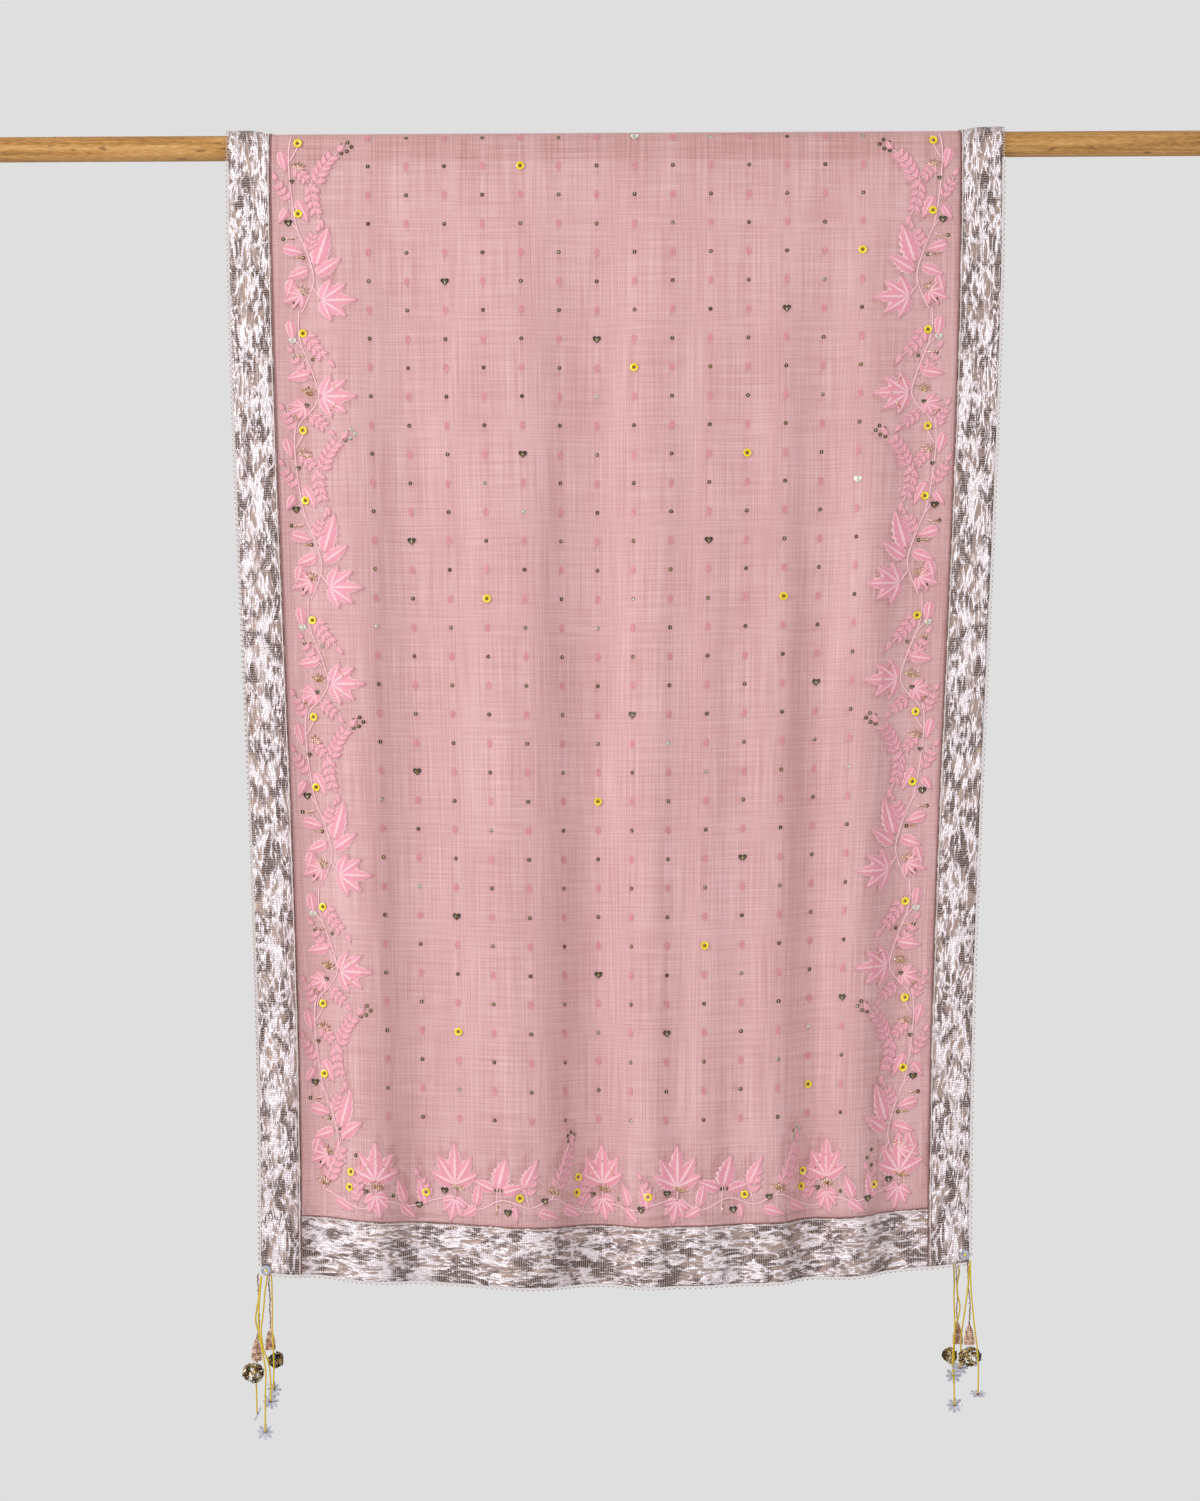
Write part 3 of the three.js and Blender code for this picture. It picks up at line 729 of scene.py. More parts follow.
def petalFlower(name, centre, faces, seed):
    # narrow spoon-shaped petals round a bead, cupped a little towards the cord
    bm = bmesh.new()
    rng = random.Random(seed)
    for k in range(tassel["petals"]):
        made = bmesh.ops.create_grid(bm, x_segments=8, y_segments=4, size=1)["verts"]
        long = tassel["petalLength"] * rng.uniform(0.9, 1.03)
        droop = rng.uniform(-0.8, 0.5)
        for v in made:
            u, w = (v.co.x + 1) / 2, v.co.y
            half = 0.55 + 1.5 * math.sin(math.pi * min(1, u ** 1.7 * 0.92)) ** 0.8
            lift = 0.9 * u * u + 0.5 * w * w * u + droop * u * u
            v.co = (0.9 + u * long, w * half * (1 - 0.25 * u), lift)
        turn = Matrix.Rotation(math.tau * k / tassel["petals"], 3, "Z")
        bmesh.ops.rotate(bm, verts=made, cent=(0, 0, 0), matrix=turn)
    bmesh.ops.solidify(bm, geom=bm.faces[:], thickness=0.35)
    bead = bmesh.ops.create_uvsphere(bm, u_segments=10, v_segments=6, radius=1.25)["verts"]
    bmesh.ops.translate(bm, vec=(0, 0, 0.5), verts=bead)
    secondMaterial(bm, bead)
    bmesh.ops.transform(bm, matrix=Matrix.Translation(centre) @ turnTo(faces), verts=bm.verts)
    bmesh.ops.scale(bm, vec=(mm, mm, mm), verts=bm.verts)
    bmesh.ops.recalc_face_normals(bm, faces=bm.faces)
    return toObject(bm, name, [finish["petal"], finish["darkBead"]])


def ringBeads(name, line, share):
    # small pale rings threaded on the cord just over its flower
    places = []
    for k, at in enumerate((share, share + 0.05, share + 0.1)):
        i = min(len(line) - 2, int(at * (len(line) - 1)))
        way = turnTo(line[i + 1] - line[i])
        places.append(Matrix.Translation(line[i]) @ way @ Matrix.Scale(1 - 0.12 * k, 4))
    bm = bmesh.new()
    bmesh.ops.create_circle(bm, segments=6, radius=0.45, matrix=Matrix.Translation((1.35, 0, 0)) @ lying)
    bmesh.ops.spin(
        bm, geom=bm.edges[:], cent=(0, 0, 0), axis=(0, 0, 1), angle=math.tau, steps=10, use_merge=True,
    )
    bmesh.ops.recalc_face_normals(bm, faces=bm.faces)
    return repeated(name, bm, places, [finish["petal"]], draped=False)


def beadCone(name, work):
    # rows of seed beads round a cone, wider towards the foot
    low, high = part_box("cone_" + work["name"])
    middle = (low + high) / 2 / mm
    top, foot = high.z / mm, low.z / mm
    rows = tassel["coneRows"]
    places = []
    for row in range(rows):
        t = row / (rows - 1)
        swell = (tassel["coneFoot"] - tassel["coneTop"]) * math.sin(t * math.pi * 0.55)
        radius = tassel["coneTop"] + swell - 1.0
        count = max(5, round(math.tau * radius / 2.0))
        for k in range(count):
            angle = math.tau * (k + 0.5 * (row % 2)) / count
            height = top - 1 + (foot + 2 - top) * t
            outward = Vector((radius * math.cos(angle), radius * math.sin(angle), 0))
            places.append(Matrix.Translation(Vector((middle.x, middle.y, height)) + outward))
    return repeated(name, beadShape(1.15, 7, 4), places, [finish["seedBead"]], draped=False)


def sequinBunch(name, work, seed):
    # cupped sequins crowded round a knot, with gold beads between
    low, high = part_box("sequins_" + work["name"])
    middle, half = (low + high) / 2 / mm, (high - low) / 2 / mm
    rng = random.Random(seed)
    places = []
    for k in range(tassel["cups"]):
        z = 1 - 2 * (k + 0.5) / tassel["cups"]
        angle = k * tassel["cupTurn"]
        ring = math.sqrt(1 - z * z)
        way = Vector((ring * math.cos(angle), ring * math.sin(angle), z))
        spot = middle + Vector((way.x * (half.x - 3.2), way.y * (half.y - 2.2), way.z * (half.z - 3.2)))
        lean = way + Vector((rng.uniform(-0.5, 0.5), rng.uniform(-0.5, 0.5), rng.uniform(-0.5, 0.5)))
        places.append(Matrix.Translation(spot) @ turnTo(lean) @ Matrix.Scale(rng.uniform(0.85, 1.1), 4))
    bm = bmesh.new()
    bmesh.ops.create_cone(bm, cap_ends=False, segments=12, radius1=0.7, radius2=3.5, depth=1.3)
    bmesh.ops.solidify(bm, geom=bm.faces[:], thickness=0.25)
    bead = bmesh.ops.create_uvsphere(bm, u_segments=6, v_segments=4, radius=0.75)["verts"]
    bmesh.ops.translate(bm, vec=(0, 0, 0.4), verts=bead)
    secondMaterial(bm, bead)
    bmesh.ops.recalc_face_normals(bm, faces=bm.faces)
    return repeated(name, bm, places, [finish["cupSequin"], finish["metalThread"]], draped=False)


def cornerDisc(name, work):
    # a shallow cup with a yellow bead, sewn flat on the corner
    low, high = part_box("disc_" + work["name"])
    middle = (low + high) / 2 / mm
    facing = (0.0, work["facing"], 0.0)
    bm = bmesh.new()
    foot = tassel["discRadius"]
    bmesh.ops.create_cone(bm, cap_ends=True, segments=24, radius1=foot, radius2=foot * 0.8, depth=1.2)
    top = [f for f in bm.faces if f.normal.z > 0.9]
    bmesh.ops.inset_region(bm, faces=top, thickness=1.0, depth=-0.45)
    bmesh.ops.inset_region(bm, faces=top, thickness=1.8, depth=0.3)
    bead = bmesh.ops.create_uvsphere(bm, u_segments=10, v_segments=6, radius=1.5)["verts"]
    bmesh.ops.translate(bm, vec=(0, 0, 0.6), verts=bead)
    secondMaterial(bm, bead)
    bmesh.ops.transform(bm, matrix=Matrix.Translation(middle) @ turnTo(facing), verts=bm.verts)
    bmesh.ops.scale(bm, vec=(mm, mm, mm), verts=bm.verts)
    bmesh.ops.recalc_face_normals(bm, faces=bm.faces)
    return toObject(bm, name, [finish["petal"], finish["yellow"]])


def makeTassel(work, seed):
    name = work["name"]
    disc = cornerDisc("corner_disc_" + name, work)
    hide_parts("disc_" + name)
    sewnAt = discMiddle(work) * mm
    for letter in ("a", "b"):
        node = f"{name}_{letter}"
        route = routeOf(work, letter)
        cord, line = hangingCurve(
            "yellow_cord_" + node, route, tassel["cord"], finish["yellowCord"],
        )
        side, toward, down = work["faces"][letter]
        faces = Vector((side, -toward, -down)).normalized()
        centre = line[-1] - faces * tassel["flowerOffset"]
        flower = petalFlower("petal_flower_" + node, centre, faces, seed + ord(letter))
        rings = ringBeads("rings_" + node, line, tassel["ringsAt"])
        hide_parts("flower_" + node)
        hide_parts("cord_" + node)
        round(lengthOf(line), 3)
    route = routeOf(work, "string")
    thread, line = hangingCurve(
        "bead_thread_" + name, route, tassel["thread"], finish["stringBead"],
    )
    total = len(line) - 1
    count = round(lengthOf(line) / mm / tassel["beadPitch"])
    rng = random.Random(seed)
    spots = []
    for k in range(count):
        place = (k + 0.5) / count * total
        i = int(place)
        spot = line[i].lerp(line[min(i + 1, total)], place - i)
        sway = Vector((math.cos(k * 1.7), math.sin(k * 1.7), 0)) * tassel["beadSway"]
        spots.append(Matrix.Translation(spot + sway) @ Matrix.Scale(rng.uniform(0.85, 1.1), 4))
    bead = beadShape(tassel["beadRadius"])
    beads = repeated("beads_" + name, bead, spots, [finish["stringBead"]], draped=False)
    cone = beadCone("bead_cone_" + name, work)
    bunch = sequinBunch("sequin_bunch_" + name, work, seed)
    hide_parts("bead_string_" + name)
    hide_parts("cone_" + name)
    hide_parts("sequins_" + name)
    round(lengthOf(line), 3)


for number, work in enumerate(tassels):
    makeTassel(work, 40 + number * 7)
print("tassels made")


# ---- the cloth's panels ----
panelSizes = {
    "wall": 0.4, "seamGap": 0.3, "columnStep": 6.0, "rowStep": 12.0, "crestStep": 2.6, "crinkle": 0.9,
    "borderWall": 0.6, "borderStep": 4.0, "sideColumns": 14, "endColumns": 230, "endMiddle": 1210,
}


def rowsAlong(start, end):
    # places along the cut from start to end, close together over the pole
    rows = [start]
    while rows[-1] < end - 0.01:
        step = panelSizes["crestStep"] if abs(rows[-1]) < quarterCrest + 12 else panelSizes["rowStep"]
        rows.append(min(end, rows[-1] + step))
    return rows


def panel(name, across, rows, columns, asUV, crinkle, materials, wall):
    bm = bmesh.new()
    last = len(rows) - 1
    bmesh.ops.create_grid(bm, x_segments=columns, y_segments=last, size=1)
    uvLayer = bm.loops.layers.uv.new("UVMap")
    for v in bm.verts:
        a = across[0] + (across[1] - across[0]) * (v.co.x + 1) / 2
        l = rows[min(last, round((v.co.y + 1) / 2 * last))]
        v.co = (a, l, crinkle(a, l) if crinkle else 0.0)
    for face in bm.faces:
        for loop in face.loops:
            loop[uvLayer].uv = asUV(loop.vert.co.x, loop.vert.co.y)
    layOnCloth(bm)
    obj = toObject(bm, name, materials)
    thicken(obj, wall)
    return obj


def crinkleLift(a, l):
    spot = Vector((a * 0.10 + l * 0.03, l * 0.055, 3.0))
    fold = 1 - abs(noise.noise(spot)) * 2.4
    return panelSizes["crinkle"] * (fold * 0.7 + noise.noise(Vector((a * 0.3, l * 0.2, 7.0))) * 0.5 - 0.35)


def makePanels():
    gap = panelSizes["seamGap"] / 2
    front, back = cloth["front"], cloth["back"]
    end = cloth["endBorder"]
    made = {}
    inner = seamAcross - gap
    columns = round(2 * inner / panelSizes["columnStep"])
    made["ground"] = panel(
        "ground", (-inner, inner), rowsAlong(-back + end + gap, front - end - gap), columns,
        lambda a, l: (a * mm, l * mm), None, [finish["gauze"]], panelSizes["wall"],
    )
    for side, sign in (("left", -1), ("right", 1)):
        edges = (sign * (seamAcross + gap), sign * cloth["halfWidth"])
        made["border_" + side] = panel(
            "side_border_" + side, (min(edges), max(edges)), fineRows(-back, front, panelSizes["borderStep"]),
            panelSizes["sideColumns"], lambda a, l, sign=sign: ((a * sign - seamAcross) * mm, l * mm),
            crinkleLift, [finish["brocade"]], panelSizes["borderWall"],
        )
    for name, low, high in (("front", front - end + gap, front), ("back", -back, -back + end - gap)):
        made["end_" + name] = panel(
            "end_border_of_" + name, (-inner, inner), fineRows(low, high, panelSizes["borderStep"]),
            panelSizes["endColumns"], lambda a, l: ((abs(l) - panelSizes["endMiddle"]) * mm, a * mm),
            crinkleLift, [finish["brocade"]], panelSizes["borderWall"],
        )
    return made


def fineRows(start, end, step):
    count = max(1, round((end - start) / step))
    return [start + (end - start) * i / count for i in range(count + 1)]


panels = makePanels()
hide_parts("field_front", "field_over_pole", "field_back")
for side in ("left", "right"):
    parts = [f"side_border_{side}_{part}" for part in ("front", "over_pole", "back")]
    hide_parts(*parts)
for end in ("front", "back"):
    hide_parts("end_border_" + end)
print("panels made")


# ---- picot edging: a row of small open loops with a knot on each ----
picot = {"pitch": 5.9, "reach": 3.1, "thread": 0.42, "out": 0.3}


def picotLoop():
    bm = bmesh.new()
    ring = Matrix.Translation((2.1, 0, 0)) @ lying
    bmesh.ops.create_circle(bm, segments=4, radius=picot["thread"], matrix=ring)
    bmesh.ops.spin(bm, geom=bm.edges[:], cent=(0, 0, 0), axis=(0, 0, 1), angle=math.pi, steps=6)
    bmesh.ops.scale(bm, vec=(1, picot["reach"] / 2.5, 1), verts=bm.verts)
    knot = bmesh.ops.create_uvsphere(bm, u_segments=5, v_segments=3, radius=0.75)["verts"]
    bmesh.ops.translate(bm, vec=(0, picot["reach"] - 0.5, 0), verts=knot)
    secondMaterial(bm, knot)
    bmesh.ops.recalc_face_normals(bm, faces=bm.faces)
    return bm


def picotRow(name, places, nodes):
    obj = repeated(name, picotLoop(), places, [finish["picot"], finish["knot"]])
    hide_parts(*nodes)
    return obj


def makePicots():
    made = {}
    half = cloth["halfWidth"] + picot["out"]
    pitch = picot["pitch"]
    for side, sign in (("left", -1), ("right", 1)):
        count = int((cloth["front"] + cloth["back"]) / pitch)
        turn = Matrix.Rotation(-sign * math.pi / 2, 4, "Z")
        alongs = [-cloth["back"] + pitch * (k + 0.5) for k in range(count)]
        places = [Matrix.Translation((sign * half, along, 0)) @ turn for along in alongs]
        nodes = [f"edging_{side}_{part}" for part in ("front", "over_pole", "back")]
        made[side] = picotRow("picots_" + side, places, nodes)
    for end, sign in (("front", 1), ("back", -1)):
        count = int(2 * cloth["halfWidth"] / pitch)
        turn = Matrix.Rotation(0 if sign > 0 else math.pi, 4, "Z")
        hem = cloth[end] + picot["out"]
        acrosses = [-cloth["halfWidth"] + pitch * (k + 0.5) for k in range(count)]
        places = [Matrix.Translation((across, sign * hem, 0)) @ turn for across in acrosses]
        made[end] = picotRow("picots_of_" + end, places, ["end_edging_" + end])
    return made


picots = makePicots()
print("picots made")


# ---- embroidery, drawn flat on the cut ----
class FlatWork:
    def __init__(self):
        self.bm = bmesh.new()
        self.uvLayer = self.bm.loops.layers.uv.new("UVMap")

    def patch(self, lengthways, crossways, shape):
        # a grid whose u runs 0 to 1 and w -1 to 1; shape gives its flat place
        made = bmesh.ops.create_grid(self.bm, x_segments=lengthways, y_segments=crossways, size=1)["verts"]
        spots = {v: ((v.co.x + 1) / 2, v.co.y) for v in made}
        for v, (u, w) in spots.items():
            v.co = shape(u, w)
        for face in {f for v in made for f in v.link_faces}:
            face.normal_update()
            if face.normal.z < 0:
                face.normal_flip()
        return spots

    def setUV(self, spots, length):
        for v, (u, w) in spots.items():
            for loop in v.link_loops:
                loop[self.uvLayer].uv = (u * length * mm, w)

    def leaf(self, base, way, length, width, teeth=True, curl=0.0):
        # a pointed leaf from its base, along the flat direction `way`
        fine = length > 20
        lengthways = 12 if fine else 6
        direction = Vector((way[0], way[1], 0)).normalized()
        sideways = Vector((-direction.y, direction.x, 0))
        root = Vector((base[0], base[1], 0))

        def shape(u, w):
            swell = math.sin(math.pi * min(1, max(0, u)) ** 0.72) ** 0.85
            notch = 1 + (0.16 if teeth and fine else 0) * (1 if round(u * lengthways) % 2 else -1)
            half = width / 2 * swell * notch + 0.15
            rise = 0.35 + 0.75 * (1 - w * w) + (0.35 if abs(w) < 0.1 else 0)
            forward = u * length - abs(w) * swell * width * 0.08
            place = root + direction * forward + sideways * (w * half + curl * u * u * length)
            return (place.x, place.y, rise)

        self.setUV(self.patch(lengthways, 6 if fine else 4, shape), length)

    def stem(self, points, width=1.3):
        line = smoothPath([(x, y, 0) for x, y in points], 4)
        last = len(line) - 1

        def shape(u, w):
            i = round(u * last)
            here = line[i]
            run = (line[min(last, i + 1)] - line[max(0, i - 1)]).normalized()
            place = here + Vector((-run.y, run.x, 0)) * (w * width / 2)
            return (place.x, place.y, 0.4 + 0.8 * (1 - w * w))

        spots = self.patch(last, 2, shape)
        for v in spots:
            for loop in v.link_loops:
                loop[self.uvLayer].uv = (spots[v][0] * last * 2 * mm, 0.0)

    def frond(self, base, tip, leaflets, length, width, bow=0.0):
        # a stem with leaflets in pairs and one at its tip
        start, end = Vector((*base, 0)), Vector((*tip, 0))
        run = end - start
        side = Vector((-run.y, run.x, 0)).normalized()
        bend = [start + run * t + side * (bow * math.sin(math.pi * t)) for t in (0, 0.25, 0.5, 0.75, 1)]
        self.stem([(p.x, p.y) for p in bend], 1.1)
        for k in range(leaflets):
            t = 0.18 + 0.74 * k / leaflets
            spot = start + run * t + side * (bow * math.sin(math.pi * t))
            grow = length * (1 - 0.35 * t)
            for hand in (-1, 1):
                way = run.normalized() * 0.75 + side * hand
                self.leaf((spot.x, spot.y), (way.x, way.y), grow, width, teeth=False, curl=-0.12 * hand)
        self.leaf((end.x, end.y), (run.x, run.y), length * 0.9, width, teeth=False)

    def palmate(self, centre, way, length, width, lobes=(-1.15, -0.58, 0.0, 0.58, 1.15)):
        # pointed lobes spread like a hand, with the middle one the longest
        base = math.atan2(way[1], way[0])
        for spread in lobes:
            angle = base + spread
            share = 1 - 0.3 * abs(spread)
            self.leaf(centre, (math.cos(angle), math.sin(angle)), length * share, width * (0.7 + 0.3 * share))

    def done(self, name):
        layOnCloth(self.bm)
        obj = toObject(self.bm, name, [finish["satin"]])
        thicken(obj, 0.35)
        return obj


smallWork = {kind: [] for kind in ("sequin", "heart", "paleHeart", "yellow", "fan", "barBead", "oval")}
roomBelow = 8  # millimetres of cloth that a small piece needs past its middle


def put(kind, across, along, turn=0.0, size=1.0):
    spot = Matrix.Translation((across, along, 0.3)) @ Matrix.Rotation(turn, 4, "Z")
    smallWork[kind].append(spot @ Matrix.Diagonal((size, size, 1, 1)))


# the side vine's repeat, down from its first yellow flower; `inward` is from the border's seam
vine = {"start": 21.0, "repeat": 318.7, "count": 4}
vineStems = [
    [
        (-10, 24), (10, 21), (40, 22), (75, 26), (95, 30), (115, 38), (140, 46), (155, 47), (172, 41),
        (188, 33),
    ],
    [(186, 30), (206, 29), (224, 32), (240, 38), (262, 46), (282, 50), (298, 40), (310, 28), (322, 24)],
    [(20, 22), (6, 30), (-6, 33)],
    [(104, 29), (106, 20)],
    [(236, 36), (236, 27)],
    [(160, 46), (176, 58)],
    [(276, 50), (280, 60)],
    [(98, 31), (88, 24)],
    [(228, 33), (219, 25)],
]
vineFronds = [  # base, tip, pairs, leaflet length and width, bow
    ((52, 48), (10, 76), 5, 14, 7, 5), ((40, 46), (84, 56), 4, 13, 7, -4),
    ((24, 26), (44, 44), 3, 11, 6, 0),
    ((66, 24), (40, 8), 3, 11, 6, 2), ((206, 34), (240, 62), 4, 13, 7, -3),
    ((262, 44), (232, 22), 3, 11, 6, 3),
    ((300, 38), (318, 60), 3, 12, 6, 0), ((322, 22), (296, 10), 3, 10, 6, 0),
    ((122, 40), (98, 52), 3, 11, 6, 2),
]
vineLeaves = [  # base, direction, length, width
    ((136, 50), (-1, 0.35), 46, 22), ((146, 50), (-0.5, 0.8), 34, 17), ((116, 14), (0.25, 1), 24, 14),
    ((140, 42), (0.4, -1), 26, 14), ((62, 30), (0.9, 0.45), 28, 13), ((256, 40), (0.2, -1), 26, 14),
    ((196, 20), (0.8, 0.1), 24, 12), ((72, 20), (0.8, -0.5), 20, 11), ((8, 12), (1, 0.25), 24, 12),
    ((150, 24), (0.9, -0.3), 22, 12),
]
vineHands = [  # centre, direction, length, width of the lobes
    ((174, 56), (0, 1), 40, 17), ((281, 54), (0, 1), 40, 17), ((168, 34), (0.4, -1), 24, 12),
    ((292, 34), (0.5, -1), 22, 11),
]
vineSmall = {  # how far down and inward each is, and a heart's size
    "yellow": [(0, 31), (78, 31), (211, 34)],
    "fan": [(30, 31), (167, 33), (280, 38)],
    "sequin": [
        (2, 80), (-1, 86), (4, 90), (9, 85), (11, 79), (106, 14), (107, 42), (165, 70), (173, 76),
        (182, 70), (237, 24),
        (240, 44), (255, 30), (127, 36),
    ],
    "heart": [(42, 24, 0.62), (88, 20, 1.0), (178, 27, 0.8), (291, 36, 0.62)],
    "paleHeart": [(219, 22, 0.9)],
}
vineBars = [
    (106, 20, 0.0), (281, 78, 0.0), (268, 66, 0.9), (294, 66, -0.9), (236, 29, 0.0), (127, 31, 0.0),
    (303, 22, 0.6),
]


def sideVine(work, hand, half):
    # hand is -1 for the left border and 1 for the right; half is 1 for the front drop and -1 for the back
    def flat(down, inward, start):
        return (hand * (seamAcross - inward), half * (start + down))

    def turned(way):
        return (-hand * way[1], half * way[0])

    for k in range(vine["count"]):
        start = vine["start"] + vine["repeat"] * k
        room = cloth["front"] - cloth["endBorder"] - 40 - start

        def fits(down):
            return down < room

        for points in vineStems:
            if fits(points[-1][0]):
                work.stem([flat(d, i, start) for d, i in points], 1.5)
        for base, tip, pairs, length, width, bow in vineFronds:
            if fits(max(base[0], tip[0]) + 12):
                work.frond(flat(*base, start), flat(*tip, start), pairs, length, width, bow * hand * half)
        for base, way, length, width in vineLeaves:
            if fits(base[0] + length):
                work.leaf(flat(*base, start), turned(way), length, width)
        for centre, way, length, width in vineHands:
            if fits(centre[0] + length * 0.6):
                work.palmate(flat(*centre, start), turned(way), length, width)
        for kind, spots in vineSmall.items():
            for down, inward, *size in spots:
                if fits(down + roomBelow):
                    put(kind, *flat(down, inward, start), 0.0 if half > 0 else math.pi, *size)
        for down, inward, lean in vineBars:
            if fits(down + roomBelow):
                put("barBead", *flat(down, inward, start), turn=math.pi / 2 - hand * half * lean)


# the end vine's repeat, from the first pointed leaf; `up` is from the end border's seam
endVine = {"start": -288.0, "repeat": 271.0}
endStems = [
    [
        (-40, 22), (-14, 14), (10, 24), (40, 18), (70, 26), (93, 30), (120, 18), (150, 30), (180, 22),
        (207, 32), (231, 22),
    ],
    [(0, 24), (1, 48), (0, 62)],
    [(93, 30), (94, 52), (93, 64)],
    [(143, 26), (144, 48), (150, 66)],
    [(143, 28), (142, 12)],
    [(205, 30), (216, 58), (230, 92)],
    [(180, 22), (172, 50)],
]
endHands = [
    ((0, 46), (0, 1), 44, 19), ((93, 44), (0, 1), 46, 20), ((0, 30), (0.2, -1), 26, 13),
    ((93, 28), (-0.2, -1), 26, 13),
]
endLeaves = [
    ((144, 42), (0.3, 1), 36, 22), ((140, 40), (-1, 0.4), 26, 14), ((150, 38), (1, 0.3), 26, 14),
    ((174, 44), (0.5, 1), 32, 16),
    ((60, 20), (-0.3, 1), 30, 14), ((190, 18), (0.9, -0.3), 26, 12), ((120, 20), (-0.7, -0.4), 22, 12),
    ((30, 20), (0.6, -0.5), 24, 12),
    ((36, 22), (-0.4, 1), 28, 13), ((118, 22), (0.2, 1), 28, 13), ((222, 22), (0.8, -0.4), 26, 12),
    ((164, 24), (0.1, -1), 18, 10),
]
endFronds = [
    ((207, 34), (231, 88), 5, 15, 7, 3), ((176, 30), (186, 66), 3, 12, 6, 0),
    ((66, 24), (52, 52), 3, 11, 6, 0),
    ((250, 22), (252, 54), 3, 12, 6, 0), ((-22, 18), (-26, 46), 3, 11, 6, 0),
]
endSmall = {  # how far right and up each is, and a heart's size
    "yellow": [(-29, 54), (60, 34), (169, 33), (240, 37)],
    "fan": [(0, 37), (95, 38), (207, 36)],
    "sequin": [
        (93, 72), (87, 60), (99, 60), (143, 40), (228, 100), (233, 104), (238, 101), (236, 95),
        (229, 94), (150, 40), (20, 30),
    ],
    "heart": [(-11, 34, 0.7), (52, 20, 1.0), (81, 37, 0.95), (156, 17, 1.0), (197, 30, 0.9)],
}
endBars = [(0, 66, 0.0), (-12, 58, 0.7), (12, 58, -0.7), (143, 18, 0.2)]


def endVineRow(work, half):
    seam = cloth["front" if half > 0 else "back"] - cloth["endBorder"]

    def flat(right, up, start):
        return (start + right, half * (seam - up))

    def turned(way):
        return (way[0], -half * way[1])

    for k in range(-1, 3):
        start = endVine["start"] + endVine["repeat"] * k

        def fits(right):
            return abs(start + right) < seamAcross - 22

        for points in endStems:
            kept = [p for p in points if fits(p[0])]
            if len(kept) > 1:
                work.stem([flat(r, u, start) for r, u in kept], 1.5)
        for centre, way, length, width in endHands:
            if fits(centre[0]):
                work.palmate(flat(*centre, start), turned(way), length, width)
        for base, way, length, width in endLeaves:
            if fits(base[0]):
                work.leaf(flat(*base, start), turned(way), length, width)
        for base, tip, pairs, length, width, bow in endFronds:
            if fits(base[0]) and fits(tip[0]):
                work.frond(flat(*base, start), flat(*tip, start), pairs, length, width, bow * half)
        for kind, spots in endSmall.items():
            for right, up, *size in spots:
                if fits(right):
                    put(kind, *flat(right, up, start), 0.0 if half > 0 else math.pi, *size)
        for right, up, lean in endBars:
            if fits(right):
                put("barBead", *flat(right, up, start), turn=lean)


for end, half in (("front", 1), ("back", -1)):
    work = FlatWork()
    for hand in (-1, 1):
        sideVine(work, hand, half)
    endVineRow(work, half)
    panels["embroidery_" + end] = work.done("embroidery_" + end)
print("embroidery made")

# ---- the field: ovals and sequins by turns, with a few flowers and hearts in place of sequins ----
field = {"columns": 14, "pitchAcross": 42.0, "pitchAlong": 31.85, "first": 15.0, "rows": 35}
fieldYellows = {(1, 4), (4, 13), (8, 7), (11, 10), (16, 3), (16, 11), (23, 6), (28, 9), (31, 2), (33, 12)}
fieldHearts = {
    (5, 2), (6, 11), (7, 6), (11, 4), (14, 1), (14, 9), (19, 12), (20, 7), (22, 1), (25, 10), (27, 2),
    (29, 6),
    (30, 13), (31, 8),
}
fieldPaleHearts = {(0, 7), (12, 13)}


def makeField():
    for row in range(-field["rows"], field["rows"]):
        half = 1 if row >= 0 else -1
        for column in range(field["columns"]):
            across = (column - (field["columns"] - 1) / 2) * field["pitchAcross"]
            along = field["first"] + field["pitchAlong"] * row
            site = (row, column) if row >= 0 else (-row, field["columns"] - 1 - column)
            turn = 0.0 if half > 0 else math.pi
            if (row + column) % 2 == 0:
                put("oval", across, along)
            elif site in fieldYellows:
                put("yellow", across, along, turn)
            elif site in fieldPaleHearts:
                put("paleHeart", across, along, turn)
            elif site in fieldHearts:
                put("heart", across, along, turn)
            else:
                put("sequin", across, along)


def ovalShape():
    bm = bmesh.new()
    bmesh.ops.create_circle(bm, cap_ends=True, segments=12, radius=1)
    bmesh.ops.scale(bm, vec=(3.1, 4.7, 1), verts=bm.verts)
    bmesh.ops.inset_region(bm, faces=bm.faces[:], thickness=0.9, depth=0.4)
    return bm


def sequinShape():
    # a cupped ring, with the stitch that holds it
    bm = bmesh.new()
    bmesh.ops.create_cone(bm, cap_ends=False, segments=10, radius1=2.3, radius2=0.75, depth=0.6)
    bmesh.ops.solidify(bm, geom=bm.faces[:], thickness=0.2)
    bmesh.ops.translate(bm, vec=(0, 0, 0.4), verts=bm.verts)
    stitch = rod(bm, 5, 0.34, 3.0)
    bmesh.ops.rotate(bm, verts=stitch, cent=(0, 0, 0), matrix=Matrix.Rotation(math.pi / 2, 3, "X"))
    bmesh.ops.translate(bm, vec=(0, 0, 0.75), verts=stitch)
    secondMaterial(bm, stitch)
    bmesh.ops.recalc_face_normals(bm, faces=bm.faces)
    return bm


